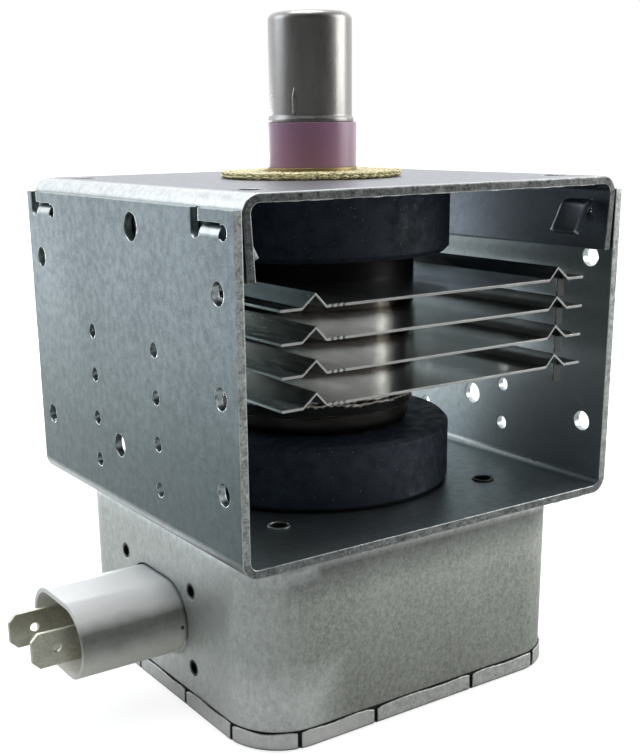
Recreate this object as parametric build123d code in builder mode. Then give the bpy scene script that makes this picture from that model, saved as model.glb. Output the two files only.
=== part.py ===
from build123d import *
import math
import os

# Packaged cavity magnetron: yoke box, ring magnets, finned anode tube with its antenna,
# and the filter can with its heater connector. All sizes are in millimetres.
# The origin is on the tube's axis at the upper face of the mounting plate. +Z points along
# the antenna, -X towards the heater connector, and cooling air passes through along Y.

os.makedirs("parts", exist_ok=True)

# Clearances
fit_gap = 0.05
loose_gap = 0.3

# Yoke box, bent from galvanised sheet
box_width = 80.0
box_depth = 77.4
sheet = 1.4
bend_inside = 1.5
wall_top_drop = 2.3
flange_depth = 13.0
flange_toe_in = 0.7
flange_end_roll = 0.45
yoke_bore_radius = 9.0
edge_roll = 0.35

# Mounting holes in the upper yoke's plate, each set in from the box's sides and open ends
mount_inset_x = 8.0
mount_inset_y = 8.7
mount_spacing_x = box_width - 2 * mount_inset_x
mount_spacing_y = box_depth - 2 * mount_inset_y
mount_hole_radius = 2.5

# Clinched tongues that lock the lower yoke's walls to the upper yoke's flanges
clinch_offset = box_depth / 2 - 7.3
tongue_width = 5.8
tongue_relief = 2.4
tongue_drop = 2.1
tongue_bend = 0.6
tongue_knee = 4.0
tongue_slope = 62.0
tongue_hook = 6.0

# Hole pattern in each side wall: distance along Y from the axis, depth below the mounting
# face, and radius. The opposite wall carries the same pattern turned half round the axis.
adjuster_hole = (-5.7, 6.45, 2.35)
corner_hole_offset = box_depth / 2 - 5.2
corner_hole_radius = 1.85
corner_hole_depths = (14.5, 45.4)
edge_hole = (-corner_hole_offset, 30.3, corner_hole_radius)
gauge_hole = (3.0, 45.4, 2.1)
column_offset = 12.0
column_first = 26.0
column_pitch = 8.0
column_count = 4
column_hole_radius = 1.3

# Ferrite ring magnets
top_magnet_diameter = 51.0
top_magnet_thickness = 11.8
bottom_magnet_diameter = 52.0
bottom_magnet_thickness = 12.0
magnet_bore = 21.0
magnet_chamfer = 0.9

# Anode tube
anode_diameter = 38.0
anode_bore = anode_diameter - 4.8
anode_length = 27.2
vane_count = 10
vane_thickness = 1.9
vane_height = 9.6
vane_tip_radius = 4.6
pole_rim = 1.6
pole_rim_diameter = anode_bore + 2.0
pole_tip_radius = 6.2
pole_bore_radius = 4.8
pole_depth = 7.2
pole_skirt_radius = anode_bore / 2 - 2.8

# Strap rings, set into the vanes' edges
strap_inner_radius = 6.6
strap_outer_radius = 8.2
strap_thickness = 0.7
strap_height = 0.9
strap_clear = 0.4

# Metal seal shells at the ends of the anode
shell_sheet = 0.6
shell_flange_radius = anode_diameter / 2 - 0.7
shell_neck_radius = 8.0
shell_bend = 1.0
shell_collar_radius = 8.4
shell_collar_height = 0.8
output_neck_top = 1.0
input_shoulder = 3.8
input_neck_length = 18.2

# Antenna
ceramic_radius = 8.3
ceramic_bore_radius = 5.4
ceramic_height = 7.8
cap_radius = 7.5
cap_wall = 0.5
cap_height = 18.7
cap_edge_radius = 1.3
cap_rim_radius = 7.8
cap_rim_height = 1.2
exhaust_radius = 3.2
exhaust_wall = 0.9
exhaust_length = 9.0
pinch_length = 4.5
pinch_thickness = 1.2
antenna_lead_radius = 1.1
antenna_lead_offset = 10.4
antenna_lead_turn = 2.4
antenna_lead_rise = 5.0

# Knitted wire gasket round the antenna's foot
gasket_inner_radius = 8.9
gasket_outer_radius = 16.6
gasket_height = 1.3

# Cathode
filament_radius = 1.7
filament_wire = 0.5
filament_pitch = 1.2
end_hat_radius = 3.7
end_hat_thickness = 1.0
lead_radius = 0.6
lead_spacing = 6.0
side_lead_offset = 2.7
lead_end_drop = 3.5
lead_bend_start = 5.0
lead_bend_run = 6.0

# Input stem
stem_radius = 8.6
stem_height = 8.0
stem_groove = 2.0

# Cooling fins
fin_count = 4
fin_side_room = 8.0
fin_width = box_width - 2 * fin_side_room
fin_depth = box_depth - 1.2
fin_sheet = 0.42
fin_first_drop = 3.3
fin_pitch = 5.1
fin_collar_height = 3.5
ridge_offset = fin_width / 2 - 6.35
ridge_height = 2.05
ridge_outer_run = 2.55
ridge_inner_run = 1.95
spacer_width = 1.4
spacer_height = 2.8
spacer_inset = 1.2
notch_width = 0.5
notch_depth = 0.5
notch_pitch = 1.1
notch_count = 3

# Filter can, drawn from thin sheet, and its crimped lid
can_width = 70.0
can_depth = 68.8
can_height = 34.5
can_sheet = 0.6
can_corner = 10.5
can_shoulder = 3.2
lid_sheet = 0.4
lid_edge_radius = 0.7
lid_skirt = 3.4
lid_slit = 0.5
lid_slits_x = (11.0, 27.2)
lid_slits_y = (9.1, 25.2)
eyelet_offset_x = 23.4
eyelet_offset_y = 23.2
eyelet_bore_radius = 1.65
eyelet_wall = 0.35
eyelet_rise = 0.3

# Heater connector with its feed-through capacitor
connector_y = 0.9
connector_drop = 18.9
connector_width = 22.0
connector_height = 13.9
connector_wall = 0.9
connector_reach = 20.0
connector_inside = 14.0
socket_depth = 12.0
plate_width = 31.0
plate_height = 20.0
plate_sheet = 0.8
plate_corner = 2.0
plate_eyelet_y = 12.9
plate_eyelet_z = 7.4
plate_eyelet_bore = 1.15
plate_eyelet_wall = 0.35
terminal_spacing = 10.4
terminal_width = 6.35
terminal_thickness = 0.8
terminal_protrusion = 7.1
terminal_chamfer = 1.3
terminal_hole_radius = 0.85
terminal_hole_inset = 4.6
feed_rod_radius = 0.8
feed_rod_end = 2.0

# Choke coils on ferrite rods
choke_offset = 16.0
choke_wire_radius = 0.7
choke_radius = 3.9
choke_pitch = 2.2
choke_turns = 7
choke_core_length = 19.0
choke_leg_bend = 1.5

# Heights that follow from the stack of pieces
top_magnet_top = -sheet
top_magnet_bottom = top_magnet_top - top_magnet_thickness
anode_top = top_magnet_bottom - shell_sheet
anode_bottom = anode_top - anode_length
anode_middle = (anode_top + anode_bottom) / 2
input_face = anode_bottom - input_shoulder
bottom_magnet_bottom = input_face - bottom_magnet_thickness
yoke_bottom = bottom_magnet_bottom - sheet
wall_top = -wall_top_drop
tongue_top = wall_top - tongue_drop
tongue_base = tongue_top - tongue_bend - sheet - 2 * fit_gap
relief_z = tongue_top - tongue_relief / 2
vane_top = anode_middle + vane_height / 2
vane_bottom = anode_middle - vane_height / 2
neck_top = output_neck_top + shell_collar_height
ceramic_top = neck_top + ceramic_height
cap_top = ceramic_top + cap_height
stem_top = input_face - input_neck_length
stem_bottom = stem_top - stem_height
can_open_end = yoke_bottom - can_height
lid_bottom = can_open_end - lid_sheet
connector_z = yoke_bottom - connector_drop
can_wall_x = -can_width / 2
can_inside_x = can_wall_x + can_sheet
mouth_x = can_wall_x - connector_reach
connector_end_x = can_inside_x + connector_inside
socket_floor_x = mouth_x + socket_depth
inner_width = box_width - 2 * sheet


def bent_section(outer_points, inner_points, outer_radii, inner_radii):
    """Section of a bent sheet, between its outer and its inner skin."""
    with BuildSketch() as section:
        with BuildLine():
            outer = FilletPolyline(*outer_points, radius=outer_radii)
            inner = FilletPolyline(*inner_points, radius=inner_radii)
            Line(outer @ 1, inner @ 0)
            Line(inner @ 1, outer @ 0)
        make_face()
    return section.sketch_local


def channel_section(width, height, toe_in=0.0):
    """Section of a sheet bent down at both sides, with its upper face on the X axis."""
    half = width / 2
    inside = half - sheet
    end = half - toe_in
    inside_end = inside - toe_in
    return bent_section(
        [(-end, -height), (-half, 0), (half, 0), (end, -height)],
        [(inside_end, -height), (inside, -sheet), (-inside, -sheet), (-inside_end, -height)],
        bend_inside + sheet,
        bend_inside,
    )


# Upper yoke: the mounting plate with a flange down inside each side wall
upper_plane = Plane.XZ
with BuildPart() as upper_yoke:
    with BuildSketch(upper_plane):
        add(channel_section(inner_width, flange_depth, flange_toe_in))
    extrude(amount=box_depth / 2, both=True)
    with BuildSketch(Plane.XY):
        Circle(yoke_bore_radius)
        with GridLocations(mount_spacing_x, mount_spacing_y, 2, 2):
            Circle(mount_hole_radius)
    extrude(amount=-2 * sheet, mode=Mode.SUBTRACT)
    with BuildSketch(Plane.YZ):
        for centre in (-clinch_offset, clinch_offset):
            with Locations((centre, (tongue_base + tongue_top) / 2)):
                Rectangle(tongue_width + 2 * loose_gap, tongue_top - tongue_base + 2 * fit_gap)
    extrude(amount=box_width / 2, both=True, mode=Mode.SUBTRACT)
    plate_edges = upper_yoke.edges().filter_by(Axis.X).group_by(Axis.Z)[-1]
    fillet(plate_edges, edge_roll)
    flange_ends = upper_yoke.edges().filter_by(Axis.Y).group_by(Axis.Z)[0]
    fillet(flange_ends, flange_end_roll)

upper_yoke.part.label = "upper_yoke"
export_step(upper_yoke.part, "parts/upper_yoke.step")


def wall_holes(side):
    """Adds one side wall's hole pattern to the sketch in progress."""
    turn = -side
    for along, depth, radius in (adjuster_hole, edge_hole, gauge_hole):
        with Locations((turn * along, -depth)):
            Circle(radius)
    for depth in corner_hole_depths:
        with Locations((-corner_hole_offset, -depth), (corner_hole_offset, -depth)):
            Circle(corner_hole_radius)
    for number in range(column_count):
        height = -(column_first + number * column_pitch)
        with Locations((-column_offset, height), (column_offset, height)):
            Circle(column_hole_radius)


def clinch_cuts(side):
    """Adds the cuts round one wall's two tongues: a round relief at one edge, an open slot at the other."""
    relief_offset = (tongue_width + tongue_relief) / 2
    cut_top = tongue_top + 4 * fit_gap
    for centre in (-clinch_offset, clinch_offset):
        with Locations((centre, (tongue_base + cut_top) / 2)):
            Rectangle(tongue_width + tongue_relief / 2, cut_top - tongue_base)
        with Locations((centre - relief_offset, relief_z), (centre + relief_offset, relief_z)):
            Circle(tongue_relief / 2)
        with Locations((centre - side * relief_offset, (relief_z + wall_top + sheet) / 2)):
            Rectangle(tongue_relief, wall_top + sheet - relief_z)


def tongue_section(side):
    """Section of a tongue that goes in through the flange's window and is bent down behind it."""
    slope = math.radians(tongue_slope)
    outer_x = side * box_width / 2
    inner_x = side * (box_width / 2 - sheet)
    knee = Vector(side * (box_width / 2 - tongue_knee), tongue_top)
    inner_knee = knee + Vector(side * sheet * math.tan(slope / 2), -sheet)
    tip = knee + Vector(-side * math.cos(slope), -math.sin(slope)) * tongue_hook
    inner_tip = tip - Vector(-side * math.sin(slope), math.cos(slope)) * sheet
    return bent_section(
        [(outer_x, tongue_base), (outer_x, tongue_top), knee, tip],
        [inner_tip, inner_knee, (inner_x, tongue_top - sheet), (inner_x, tongue_base)],
        tongue_bend + sheet,
        tongue_bend,
    )


# Lower yoke: bottom plate and the two perforated side walls in one folded sheet
lower_plane = Plane(origin=(0, 0, yoke_bottom), x_dir=(1, 0, 0), z_dir=(0, 1, 0))
with BuildPart() as lower_yoke:
    with BuildSketch(lower_plane):
        add(channel_section(box_width, wall_top - yoke_bottom))
    extrude(amount=box_depth / 2, both=True)
    for side in (-1, 1):
        with BuildSketch(Plane.YZ.offset(side * (box_width / 2 - sheet / 2))):
            wall_holes(side)
            clinch_cuts(side)
        extrude(amount=sheet, both=True, mode=Mode.SUBTRACT)
    for side in (-1, 1):
        for centre in (-clinch_offset, clinch_offset):
            with BuildSketch(Plane.XZ.offset(-centre)):
                add(tongue_section(side))
            extrude(amount=tongue_width / 2, both=True)
    with BuildSketch(Plane.XY.offset(yoke_bottom)):
        Circle(yoke_bore_radius)
        with GridLocations(2 * eyelet_offset_x, 2 * eyelet_offset_y, 2, 2):
            Circle(eyelet_bore_radius + eyelet_wall + fit_gap)
    extrude(amount=2 * sheet, mode=Mode.SUBTRACT)

lower_yoke.part.label = "lower_yoke"
export_step(lower_yoke.part, "parts/lower_yoke.step")

# Ring magnets, with their outer rims chamfered
for name, diameter, top, thickness in (
    ("top_magnet", top_magnet_diameter, top_magnet_top, top_magnet_thickness),
    ("bottom_magnet", bottom_magnet_diameter, input_face, bottom_magnet_thickness),
):
    with BuildPart() as magnet:
        with BuildSketch(Plane.XY.offset(top)):
            Circle(diameter / 2)
            Circle(magnet_bore / 2, mode=Mode.SUBTRACT)
        extrude(amount=-thickness)
        rims = magnet.edges().filter_by(GeomType.CIRCLE).filter_by(lambda edge: edge.radius > magnet_bore)
        chamfer(rims, magnet_chamfer)
    magnet.part.label = name
    export_step(magnet.part, f"parts/{name}.step")

# Anode cylinder, with a seat at each end for a pole piece
with BuildPart() as anode_cylinder:
    with BuildSketch(Plane.XY.offset(anode_bottom)):
        Circle(anode_diameter / 2)
        Circle(anode_bore / 2, mode=Mode.SUBTRACT)
    extrude(amount=anode_length)
    for seat in (anode_top - pole_rim, anode_bottom):
        with BuildSketch(Plane.XY.offset(seat)):
            Circle(pole_rim_diameter / 2)
        extrude(amount=pole_rim, mode=Mode.SUBTRACT)

anode_cylinder.part.label = "anode_cylinder"
export_step(anode_cylinder.part, "parts/anode_cylinder.step")

# Vanes: each has a stepped slot in both edges, where it meets one strap ring and clears the other
vane_end_radius = math.sqrt((anode_bore / 2) ** 2 - (vane_thickness / 2) ** 2)
slot_start = strap_inner_radius - strap_clear
slot_middle = (strap_inner_radius + strap_thickness + strap_outer_radius) / 2
slot_end = strap_outer_radius + strap_thickness + strap_clear
seat_depth = strap_height + strap_clear / 4
clear_depth = seat_depth + strap_clear


def vane_outline(meets_inner_above):
    """Radial outline of a vane. The straps that it meets swap between its two edges."""
    above = (seat_depth, clear_depth) if meets_inner_above else (clear_depth, seat_depth)
    below = (clear_depth, seat_depth) if meets_inner_above else (seat_depth, clear_depth)
    return Polygon(
        (vane_tip_radius, vane_top),
        (slot_start, vane_top),
        (slot_start, vane_top - above[0]),
        (slot_middle, vane_top - above[0]),
        (slot_middle, vane_top - above[1]),
        (slot_end, vane_top - above[1]),
        (slot_end, vane_top),
        (vane_end_radius, vane_top),
        (vane_end_radius, vane_bottom),
        (slot_end, vane_bottom),
        (slot_end, vane_bottom + below[1]),
        (slot_middle, vane_bottom + below[1]),
        (slot_middle, vane_bottom + below[0]),
        (slot_start, vane_bottom + below[0]),
        (slot_start, vane_bottom),
        (vane_tip_radius, vane_bottom),
        align=None,
    )


for number in range(vane_count):
    angle = math.radians(360 / vane_count * number)
    along = (math.cos(angle), math.sin(angle), 0)
    across = (math.sin(angle), -math.cos(angle), 0)
    with BuildPart() as vane:
        with BuildSketch(Plane(origin=(0, 0, 0), x_dir=along, z_dir=across)):
            vane_outline(number % 2 == 0)
        extrude(amount=vane_thickness / 2, both=True)
    vane.part.label = f"anode_vane_{number + 1}"
    export_step(vane.part, f"parts/anode_vane_{number + 1}.step")

# Strap rings: an inner and an outer one, set into the vanes' upper and lower edges
for name, radius, base in (
    ("upper_inner_strap", strap_inner_radius, vane_top - seat_depth),
    ("upper_outer_strap", strap_outer_radius, vane_top - seat_depth),
    ("lower_inner_strap", strap_inner_radius, vane_bottom + seat_depth - strap_height),
    ("lower_outer_strap", strap_outer_radius, vane_bottom + seat_depth - strap_height),
):
    with BuildPart() as strap:
        with BuildSketch(Plane.XY.offset(base)):
            Circle(radius + strap_thickness)
            Circle(radius, mode=Mode.SUBTRACT)
        extrude(amount=strap_height)
    strap.part.label = name
    export_step(strap.part, f"parts/{name}.step")


def pole_outline(face, away):
    """Section of a funnel-shaped pole piece. away is -1 below its face and 1 above it."""
    return Polygon(
        (pole_rim_diameter / 2 - fit_gap, face),
        (pole_rim_diameter / 2 - fit_gap, face + away * pole_rim),
        (pole_skirt_radius, face + away * pole_rim),
        (pole_tip_radius, face + away * pole_depth),
        (pole_bore_radius, face + away * pole_depth),
        (pole_bore_radius, face + away * (pole_depth - pole_rim)),
        (pole_skirt_radius - pole_rim, face),
        align=None,
    )


# Upper pole piece, with the hole that the antenna lead passes through
with BuildPart() as upper_pole_piece:
    with BuildSketch(Plane.XZ):
        pole_outline(anode_top, -1)
    revolve(axis=Axis.Z)
    with BuildSketch(Plane.XY.offset(anode_top)):
        with Locations((antenna_lead_offset, 0)):
            Circle(2 * antenna_lead_radius)
    extrude(amount=-pole_depth, mode=Mode.SUBTRACT)

upper_pole_piece.part.label = "upper_pole_piece"
export_step(upper_pole_piece.part, "parts/upper_pole_piece.step")

with BuildPart() as lower_pole_piece:
    with BuildSketch(Plane.XZ):
        pole_outline(anode_bottom, 1)
    revolve(axis=Axis.Z)

lower_pole_piece.part.label = "lower_pole_piece"
export_step(lower_pole_piece.part, "parts/lower_pole_piece.step")

# Output shell: flange on the anode, neck up through the magnet and a collar under the ceramic
neck_inner = shell_neck_radius - shell_sheet
with BuildPart() as output_shell:
    with BuildSketch(Plane.XZ):
        add(
            bent_section(
                [
                    (shell_flange_radius, top_magnet_bottom),
                    (shell_neck_radius, top_magnet_bottom),
                    (shell_neck_radius, output_neck_top),
                ],
                [
                    (neck_inner, output_neck_top),
                    (neck_inner, anode_top),
                    (shell_flange_radius, anode_top),
                ],
                shell_bend,
                shell_bend + shell_sheet,
            )
        )
    revolve(axis=Axis.Z)
    with BuildSketch(Plane.XY.offset(output_neck_top)):
        Circle(shell_collar_radius)
        Circle(ceramic_bore_radius, mode=Mode.SUBTRACT)
    extrude(amount=shell_collar_height)

output_shell.part.label = "output_shell"
export_step(output_shell.part, "parts/output_shell.step")

# Input shell: a drawn shoulder under the anode and a neck down into the filter can
with BuildPart() as input_shell:
    with BuildSketch(Plane.XZ):
        add(
            bent_section(
                [
                    (shell_flange_radius, anode_bottom),
                    (shell_flange_radius, input_face),
                    (shell_neck_radius, input_face),
                    (shell_neck_radius, stem_top),
                ],
                [
                    (neck_inner, stem_top),
                    (neck_inner, input_face + shell_sheet),
                    (shell_flange_radius - shell_sheet, input_face + shell_sheet),
                    (shell_flange_radius - shell_sheet, anode_bottom),
                ],
                [shell_bend + shell_sheet, shell_bend],
                [shell_bend + shell_sheet, shell_bend],
            )
        )
    revolve(axis=Axis.Z)

input_shell.part.label = "input_shell"
export_step(input_shell.part, "parts/input_shell.step")

# Input stem: ceramic that carries the two cathode leads, with a creepage groove round it
with BuildPart() as input_stem:
    with BuildSketch(Plane.XY.offset(stem_bottom)):
        Circle(stem_radius)
        with Locations((-lead_spacing / 2, 0), (lead_spacing / 2, 0)):
            Circle(lead_radius + fit_gap, mode=Mode.SUBTRACT)
    extrude(amount=stem_height)
    with BuildSketch(Plane.XY.offset((stem_top + stem_bottom - stem_groove) / 2)):
        Circle(stem_radius)
        Circle(stem_radius - stem_groove / 2, mode=Mode.SUBTRACT)
    extrude(amount=stem_groove, mode=Mode.SUBTRACT)

input_stem.part.label = "input_stem"
export_step(input_stem.part, "parts/input_stem.step")

# Cathode: coil filament between two end hats
filament_top = vane_top - end_hat_thickness / 2
filament_bottom = vane_bottom + end_hat_thickness / 2
coil_height = filament_top - filament_bottom - filament_wire
with BuildPart() as filament:
    with BuildLine():
        coil = Helix(
            pitch=filament_pitch,
            height=coil_height,
            radius=filament_radius,
            center=(0, 0, filament_bottom + filament_wire / 2),
        )
    with BuildSketch(Plane(origin=coil @ 0, z_dir=coil % 0)):
        Rectangle(filament_wire, filament_wire)
    sweep(path=coil, is_frenet=True)

filament.part.label = "filament"
export_step(filament.part, "parts/filament.step")

with BuildPart() as upper_end_hat:
    with BuildSketch(Plane.XY.offset(filament_top)):
        Circle(end_hat_radius)
    extrude(amount=end_hat_thickness)

upper_end_hat.part.label = "upper_end_hat"
export_step(upper_end_hat.part, "parts/upper_end_hat.step")

with BuildPart() as lower_end_hat:
    with BuildSketch(Plane.XY.offset(filament_bottom - end_hat_thickness)):
        Circle(end_hat_radius)
        Circle(lead_radius + loose_gap, mode=Mode.SUBTRACT)
    extrude(amount=end_hat_thickness)

lower_end_hat.part.label = "lower_end_hat"
export_step(lower_end_hat.part, "parts/lower_end_hat.step")

# Cathode leads: one from each end hat, spread apart below the anode and brought out of the stem
lead_end = stem_bottom - lead_end_drop
bend_top = input_face - lead_bend_start
bend_bottom = bend_top - lead_bend_run
for name, start, start_x, end_x in (
    ("centre_lead", filament_top, 0, -lead_spacing / 2),
    ("side_lead", filament_bottom - end_hat_thickness, side_lead_offset, lead_spacing / 2),
):
    with BuildPart() as lead:
        with BuildLine() as route:
            FilletPolyline(
                (start_x, 0, start),
                (start_x, 0, bend_top),
                (end_x, 0, bend_bottom),
                (end_x, 0, lead_end),
                radius=3 * lead_radius,
            )
        with BuildSketch(Plane.XY.offset(start)):
            with Locations((start_x, 0)):
                Circle(lead_radius)
        sweep(path=route.wires()[0])
    lead.part.label = name
    export_step(lead.part, f"parts/{name}.step")

# Antenna ceramic
with BuildPart() as antenna_ceramic:
    with BuildSketch(Plane.XY.offset(neck_top)):
        Circle(ceramic_radius)
        Circle(ceramic_bore_radius, mode=Mode.SUBTRACT)
    extrude(amount=ceramic_height)

antenna_ceramic.part.label = "antenna_ceramic"
export_step(antenna_ceramic.part, "parts/antenna_ceramic.step")

# Antenna cap: a drawn cup with a flared rim on the ceramic
cap_inner = cap_radius - cap_wall
rim_inner = cap_rim_radius - cap_wall
with BuildPart() as antenna_cap:
    with BuildSketch(Plane.XZ):
        with BuildLine():
            skin = Polyline(
                (cap_rim_radius, ceramic_top),
                (cap_rim_radius, ceramic_top + cap_rim_height / 2),
                (cap_radius, ceramic_top + cap_rim_height),
                (cap_radius, cap_top - cap_edge_radius),
            )
            corner = TangentArc(skin @ 1, (cap_radius - cap_edge_radius, cap_top), tangent=(0, 1))
            crown = Line(corner @ 1, (0, cap_top))
            axis_wall = Line(crown @ 1, (0, cap_top - cap_wall))
            ceiling = Line(axis_wall @ 1, (cap_radius - cap_edge_radius, cap_top - cap_wall))
            turn_down = TangentArc(ceiling @ 1, (cap_inner, cap_top - cap_edge_radius), tangent=(1, 0))
            Polyline(
                turn_down @ 1,
                (cap_inner, ceramic_top + cap_rim_height),
                (rim_inner, ceramic_top + cap_rim_height / 2),
                (rim_inner, ceramic_top),
                skin @ 0,
            )
        make_face()
    revolve(axis=Axis.Z)

antenna_cap.part.label = "antenna_cap"
export_step(antenna_cap.part, "parts/antenna_cap.step")

# Exhaust tube: seat on the ceramic, tube, and the flat where it is pinched shut
tube_top = ceramic_top + shell_sheet + exhaust_length
with BuildPart() as exhaust_tube:
    with BuildSketch(Plane.XY.offset(ceramic_top)):
        Circle(cap_inner - fit_gap)
        Circle(exhaust_radius - exhaust_wall, mode=Mode.SUBTRACT)
    extrude(amount=shell_sheet)
    with BuildSketch(Plane.XY.offset(ceramic_top)):
        Circle(exhaust_radius)
        Circle(exhaust_radius - exhaust_wall, mode=Mode.SUBTRACT)
    extrude(amount=tube_top - ceramic_top)
    with BuildSketch(Plane.XY.offset(tube_top)):
        Circle(exhaust_radius)
    with BuildSketch(Plane.XY.offset(tube_top + pinch_length)):
        Rectangle(2.4 * exhaust_radius, pinch_thickness)
    loft()

exhaust_tube.part.label = "exhaust_tube"
export_step(exhaust_tube.part, "parts/exhaust_tube.step")

# Antenna lead: from one vane's edge, through the upper pole piece and up inside the exhaust tube
lead_turn = anode_top - antenna_lead_turn
with BuildPart() as antenna_lead:
    with BuildLine() as antenna_route:
        FilletPolyline(
            (antenna_lead_offset, 0, vane_top),
            (antenna_lead_offset, 0, lead_turn),
            (0, 0, lead_turn + antenna_lead_rise),
            (0, 0, tube_top - fit_gap),
            radius=2 * antenna_lead_radius,
        )
    with BuildSketch(Plane.XY.offset(vane_top)):
        with Locations((antenna_lead_offset, 0)):
            Circle(antenna_lead_radius)
    sweep(path=antenna_route.wires()[0])

antenna_lead.part.label = "antenna_lead"
export_step(antenna_lead.part, "parts/antenna_lead.step")

# Gasket of knitted wire, flat on the mounting plate
with BuildPart() as rf_gasket:
    with BuildSketch(Plane.XY):
        Circle(gasket_outer_radius)
        Circle(gasket_inner_radius, mode=Mode.SUBTRACT)
    extrude(amount=gasket_height)
    chamfer(rf_gasket.edges().filter_by(GeomType.CIRCLE), gasket_height / 3)

rf_gasket.part.label = "rf_gasket"
export_step(rf_gasket.part, "parts/rf_gasket.step")


def fin_outline(top):
    """Section of a fin: a flat sheet with a raised ridge near both ends."""
    half = fin_width / 2
    upper = [
        (half, top),
        (ridge_offset + ridge_outer_run, top),
        (ridge_offset, top + ridge_height),
        (ridge_offset - ridge_inner_run, top),
    ]
    upper += [(-x, z) for x, z in reversed(upper)]
    lower = [(x, z - fin_sheet) for x, z in reversed(upper)]
    return Polygon(*upper, *lower, align=None)


# Cooling fins, pressed onto the anode by their collars, each with two bent spacers and two
# rows of small shear notches
anode_grip = anode_diameter / 2 + fit_gap
spacer_x = ridge_offset + ridge_outer_run - spacer_width / 2
spacer_y = fin_depth / 2 - spacer_inset
for number in range(fin_count):
    fin_top = anode_top - fin_first_drop - number * fin_pitch
    with BuildPart() as fin:
        with BuildSketch(Plane.XZ):
            fin_outline(fin_top)
        extrude(amount=fin_depth / 2, both=True)
        with BuildSketch(Plane.XY.offset(fin_top - fin_collar_height)):
            Circle(anode_grip + fin_sheet)
        extrude(amount=fin_collar_height)
        with BuildSketch(Plane.XY.offset(fin_top - fin_collar_height)):
            Circle(anode_grip)
        extrude(amount=fin_collar_height + ridge_height, mode=Mode.SUBTRACT)
        with BuildSketch(Plane.XY.offset(fin_top - fin_sheet / 2)):
            with Locations((spacer_x, -spacer_y), (-spacer_x, spacer_y)):
                Rectangle(spacer_width, fin_sheet)
        extrude(amount=-(spacer_height + fin_sheet / 2))
        with BuildSketch(Plane.XY.offset(fin_top)):
            for notch in range(notch_count):
                notch_x = ridge_offset - ridge_inner_run - (notch + 1) * notch_pitch
                with Locations((-notch_x, -fin_depth / 2), (notch_x, fin_depth / 2)):
                    Rectangle(notch_width, 2 * notch_depth)
        extrude(amount=-2 * fin_sheet, mode=Mode.SUBTRACT)
    fin.part.label = f"cooling_fin_{number + 1}"
    export_step(fin.part, f"parts/cooling_fin_{number + 1}.step")


# Filter can: drawn cup, open downwards, riveted to the lower yoke by four drawn eyelets
connector_plane = Plane(origin=(can_wall_x, connector_y, connector_z), x_dir=(0, -1, 0), z_dir=(-1, 0, 0))
with BuildPart() as filter_can:
    with BuildSketch(Plane.XY.offset(can_open_end)):
        RectangleRounded(can_width, can_depth, can_corner)
    extrude(amount=can_height)
    fillet(filter_can.faces().sort_by(Axis.Z)[-1].edges(), can_shoulder)
    offset(amount=-can_sheet, openings=filter_can.faces().sort_by(Axis.Z)[0])
    with BuildSketch(Plane.XY.offset(yoke_bottom)):
        with GridLocations(2 * eyelet_offset_x, 2 * eyelet_offset_y, 2, 2):
            Circle(eyelet_bore_radius + eyelet_wall)
    extrude(amount=sheet + eyelet_rise)
    with BuildSketch(Plane.XY.offset(yoke_bottom - 2 * can_sheet)):
        Circle(yoke_bore_radius)
        with GridLocations(2 * eyelet_offset_x, 2 * eyelet_offset_y, 2, 2):
            Circle(eyelet_bore_radius)
    extrude(amount=2 * (can_sheet + sheet), mode=Mode.SUBTRACT)
    with BuildSketch(connector_plane):
        SlotOverall(connector_width + 2 * loose_gap, connector_height + 2 * loose_gap)
        with GridLocations(2 * plate_eyelet_y, 2 * plate_eyelet_z, 2, 2):
            Circle(plate_eyelet_bore + plate_eyelet_wall + fit_gap)
    extrude(amount=-2 * can_sheet, mode=Mode.SUBTRACT)

filter_can.part.label = "filter_can"
export_step(filter_can.part, "parts/filter_can.step")

# Filter lid: flat tray whose slit skirt is crimped up round the can's open end
lid_gap = fit_gap
with BuildPart() as filter_lid:
    with BuildSketch(Plane.XY.offset(lid_bottom)):
        RectangleRounded(
            can_width + 2 * (lid_sheet + lid_gap),
            can_depth + 2 * (lid_sheet + lid_gap),
            can_corner + lid_sheet + lid_gap,
        )
    extrude(amount=lid_skirt)
    fillet(filter_lid.faces().sort_by(Axis.Z)[0].edges(), lid_edge_radius)
    with BuildSketch(Plane.XY.offset(can_open_end)):
        RectangleRounded(can_width + 2 * lid_gap, can_depth + 2 * lid_gap, can_corner + lid_gap)
    extrude(amount=lid_skirt, mode=Mode.SUBTRACT)
    slit_length = can_width + can_depth
    with BuildSketch(Plane.XY.offset(can_open_end)):
        for position in lid_slits_x:
            for sign in (-1, 1):
                with Locations((sign * position, can_depth / 2 + slit_length / 4)):
                    Rectangle(lid_slit, slit_length / 2)
                with Locations((sign * position, -can_depth / 2 - slit_length / 4)):
                    Rectangle(lid_slit, slit_length / 2)
        for position in lid_slits_y:
            for sign in (-1, 1):
                with Locations((can_width / 2 + slit_length / 4, sign * position)):
                    Rectangle(slit_length / 2, lid_slit)
                with Locations((-can_width / 2 - slit_length / 4, sign * position)):
                    Rectangle(slit_length / 2, lid_slit)
    extrude(amount=lid_skirt, mode=Mode.SUBTRACT)

filter_lid.part.label = "filter_lid"
export_step(filter_lid.part, "parts/filter_lid.step")

# Connector housing: oval plastic tube through the can's wall, open at both ends
housing_length = connector_end_x - mouth_x
mouth_plane = Plane(origin=(mouth_x, connector_y, connector_z), x_dir=(0, -1, 0), z_dir=(-1, 0, 0))
with BuildPart() as connector_housing:
    with BuildSketch(mouth_plane):
        SlotOverall(connector_width, connector_height)
    extrude(amount=-housing_length)
    with BuildSketch(mouth_plane):
        SlotOverall(connector_width - 2 * connector_wall, connector_height - 2 * connector_wall)
    extrude(amount=-housing_length, mode=Mode.SUBTRACT)

connector_housing.part.label = "connector_housing"
export_step(connector_housing.part, "parts/connector_housing.step")

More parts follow.
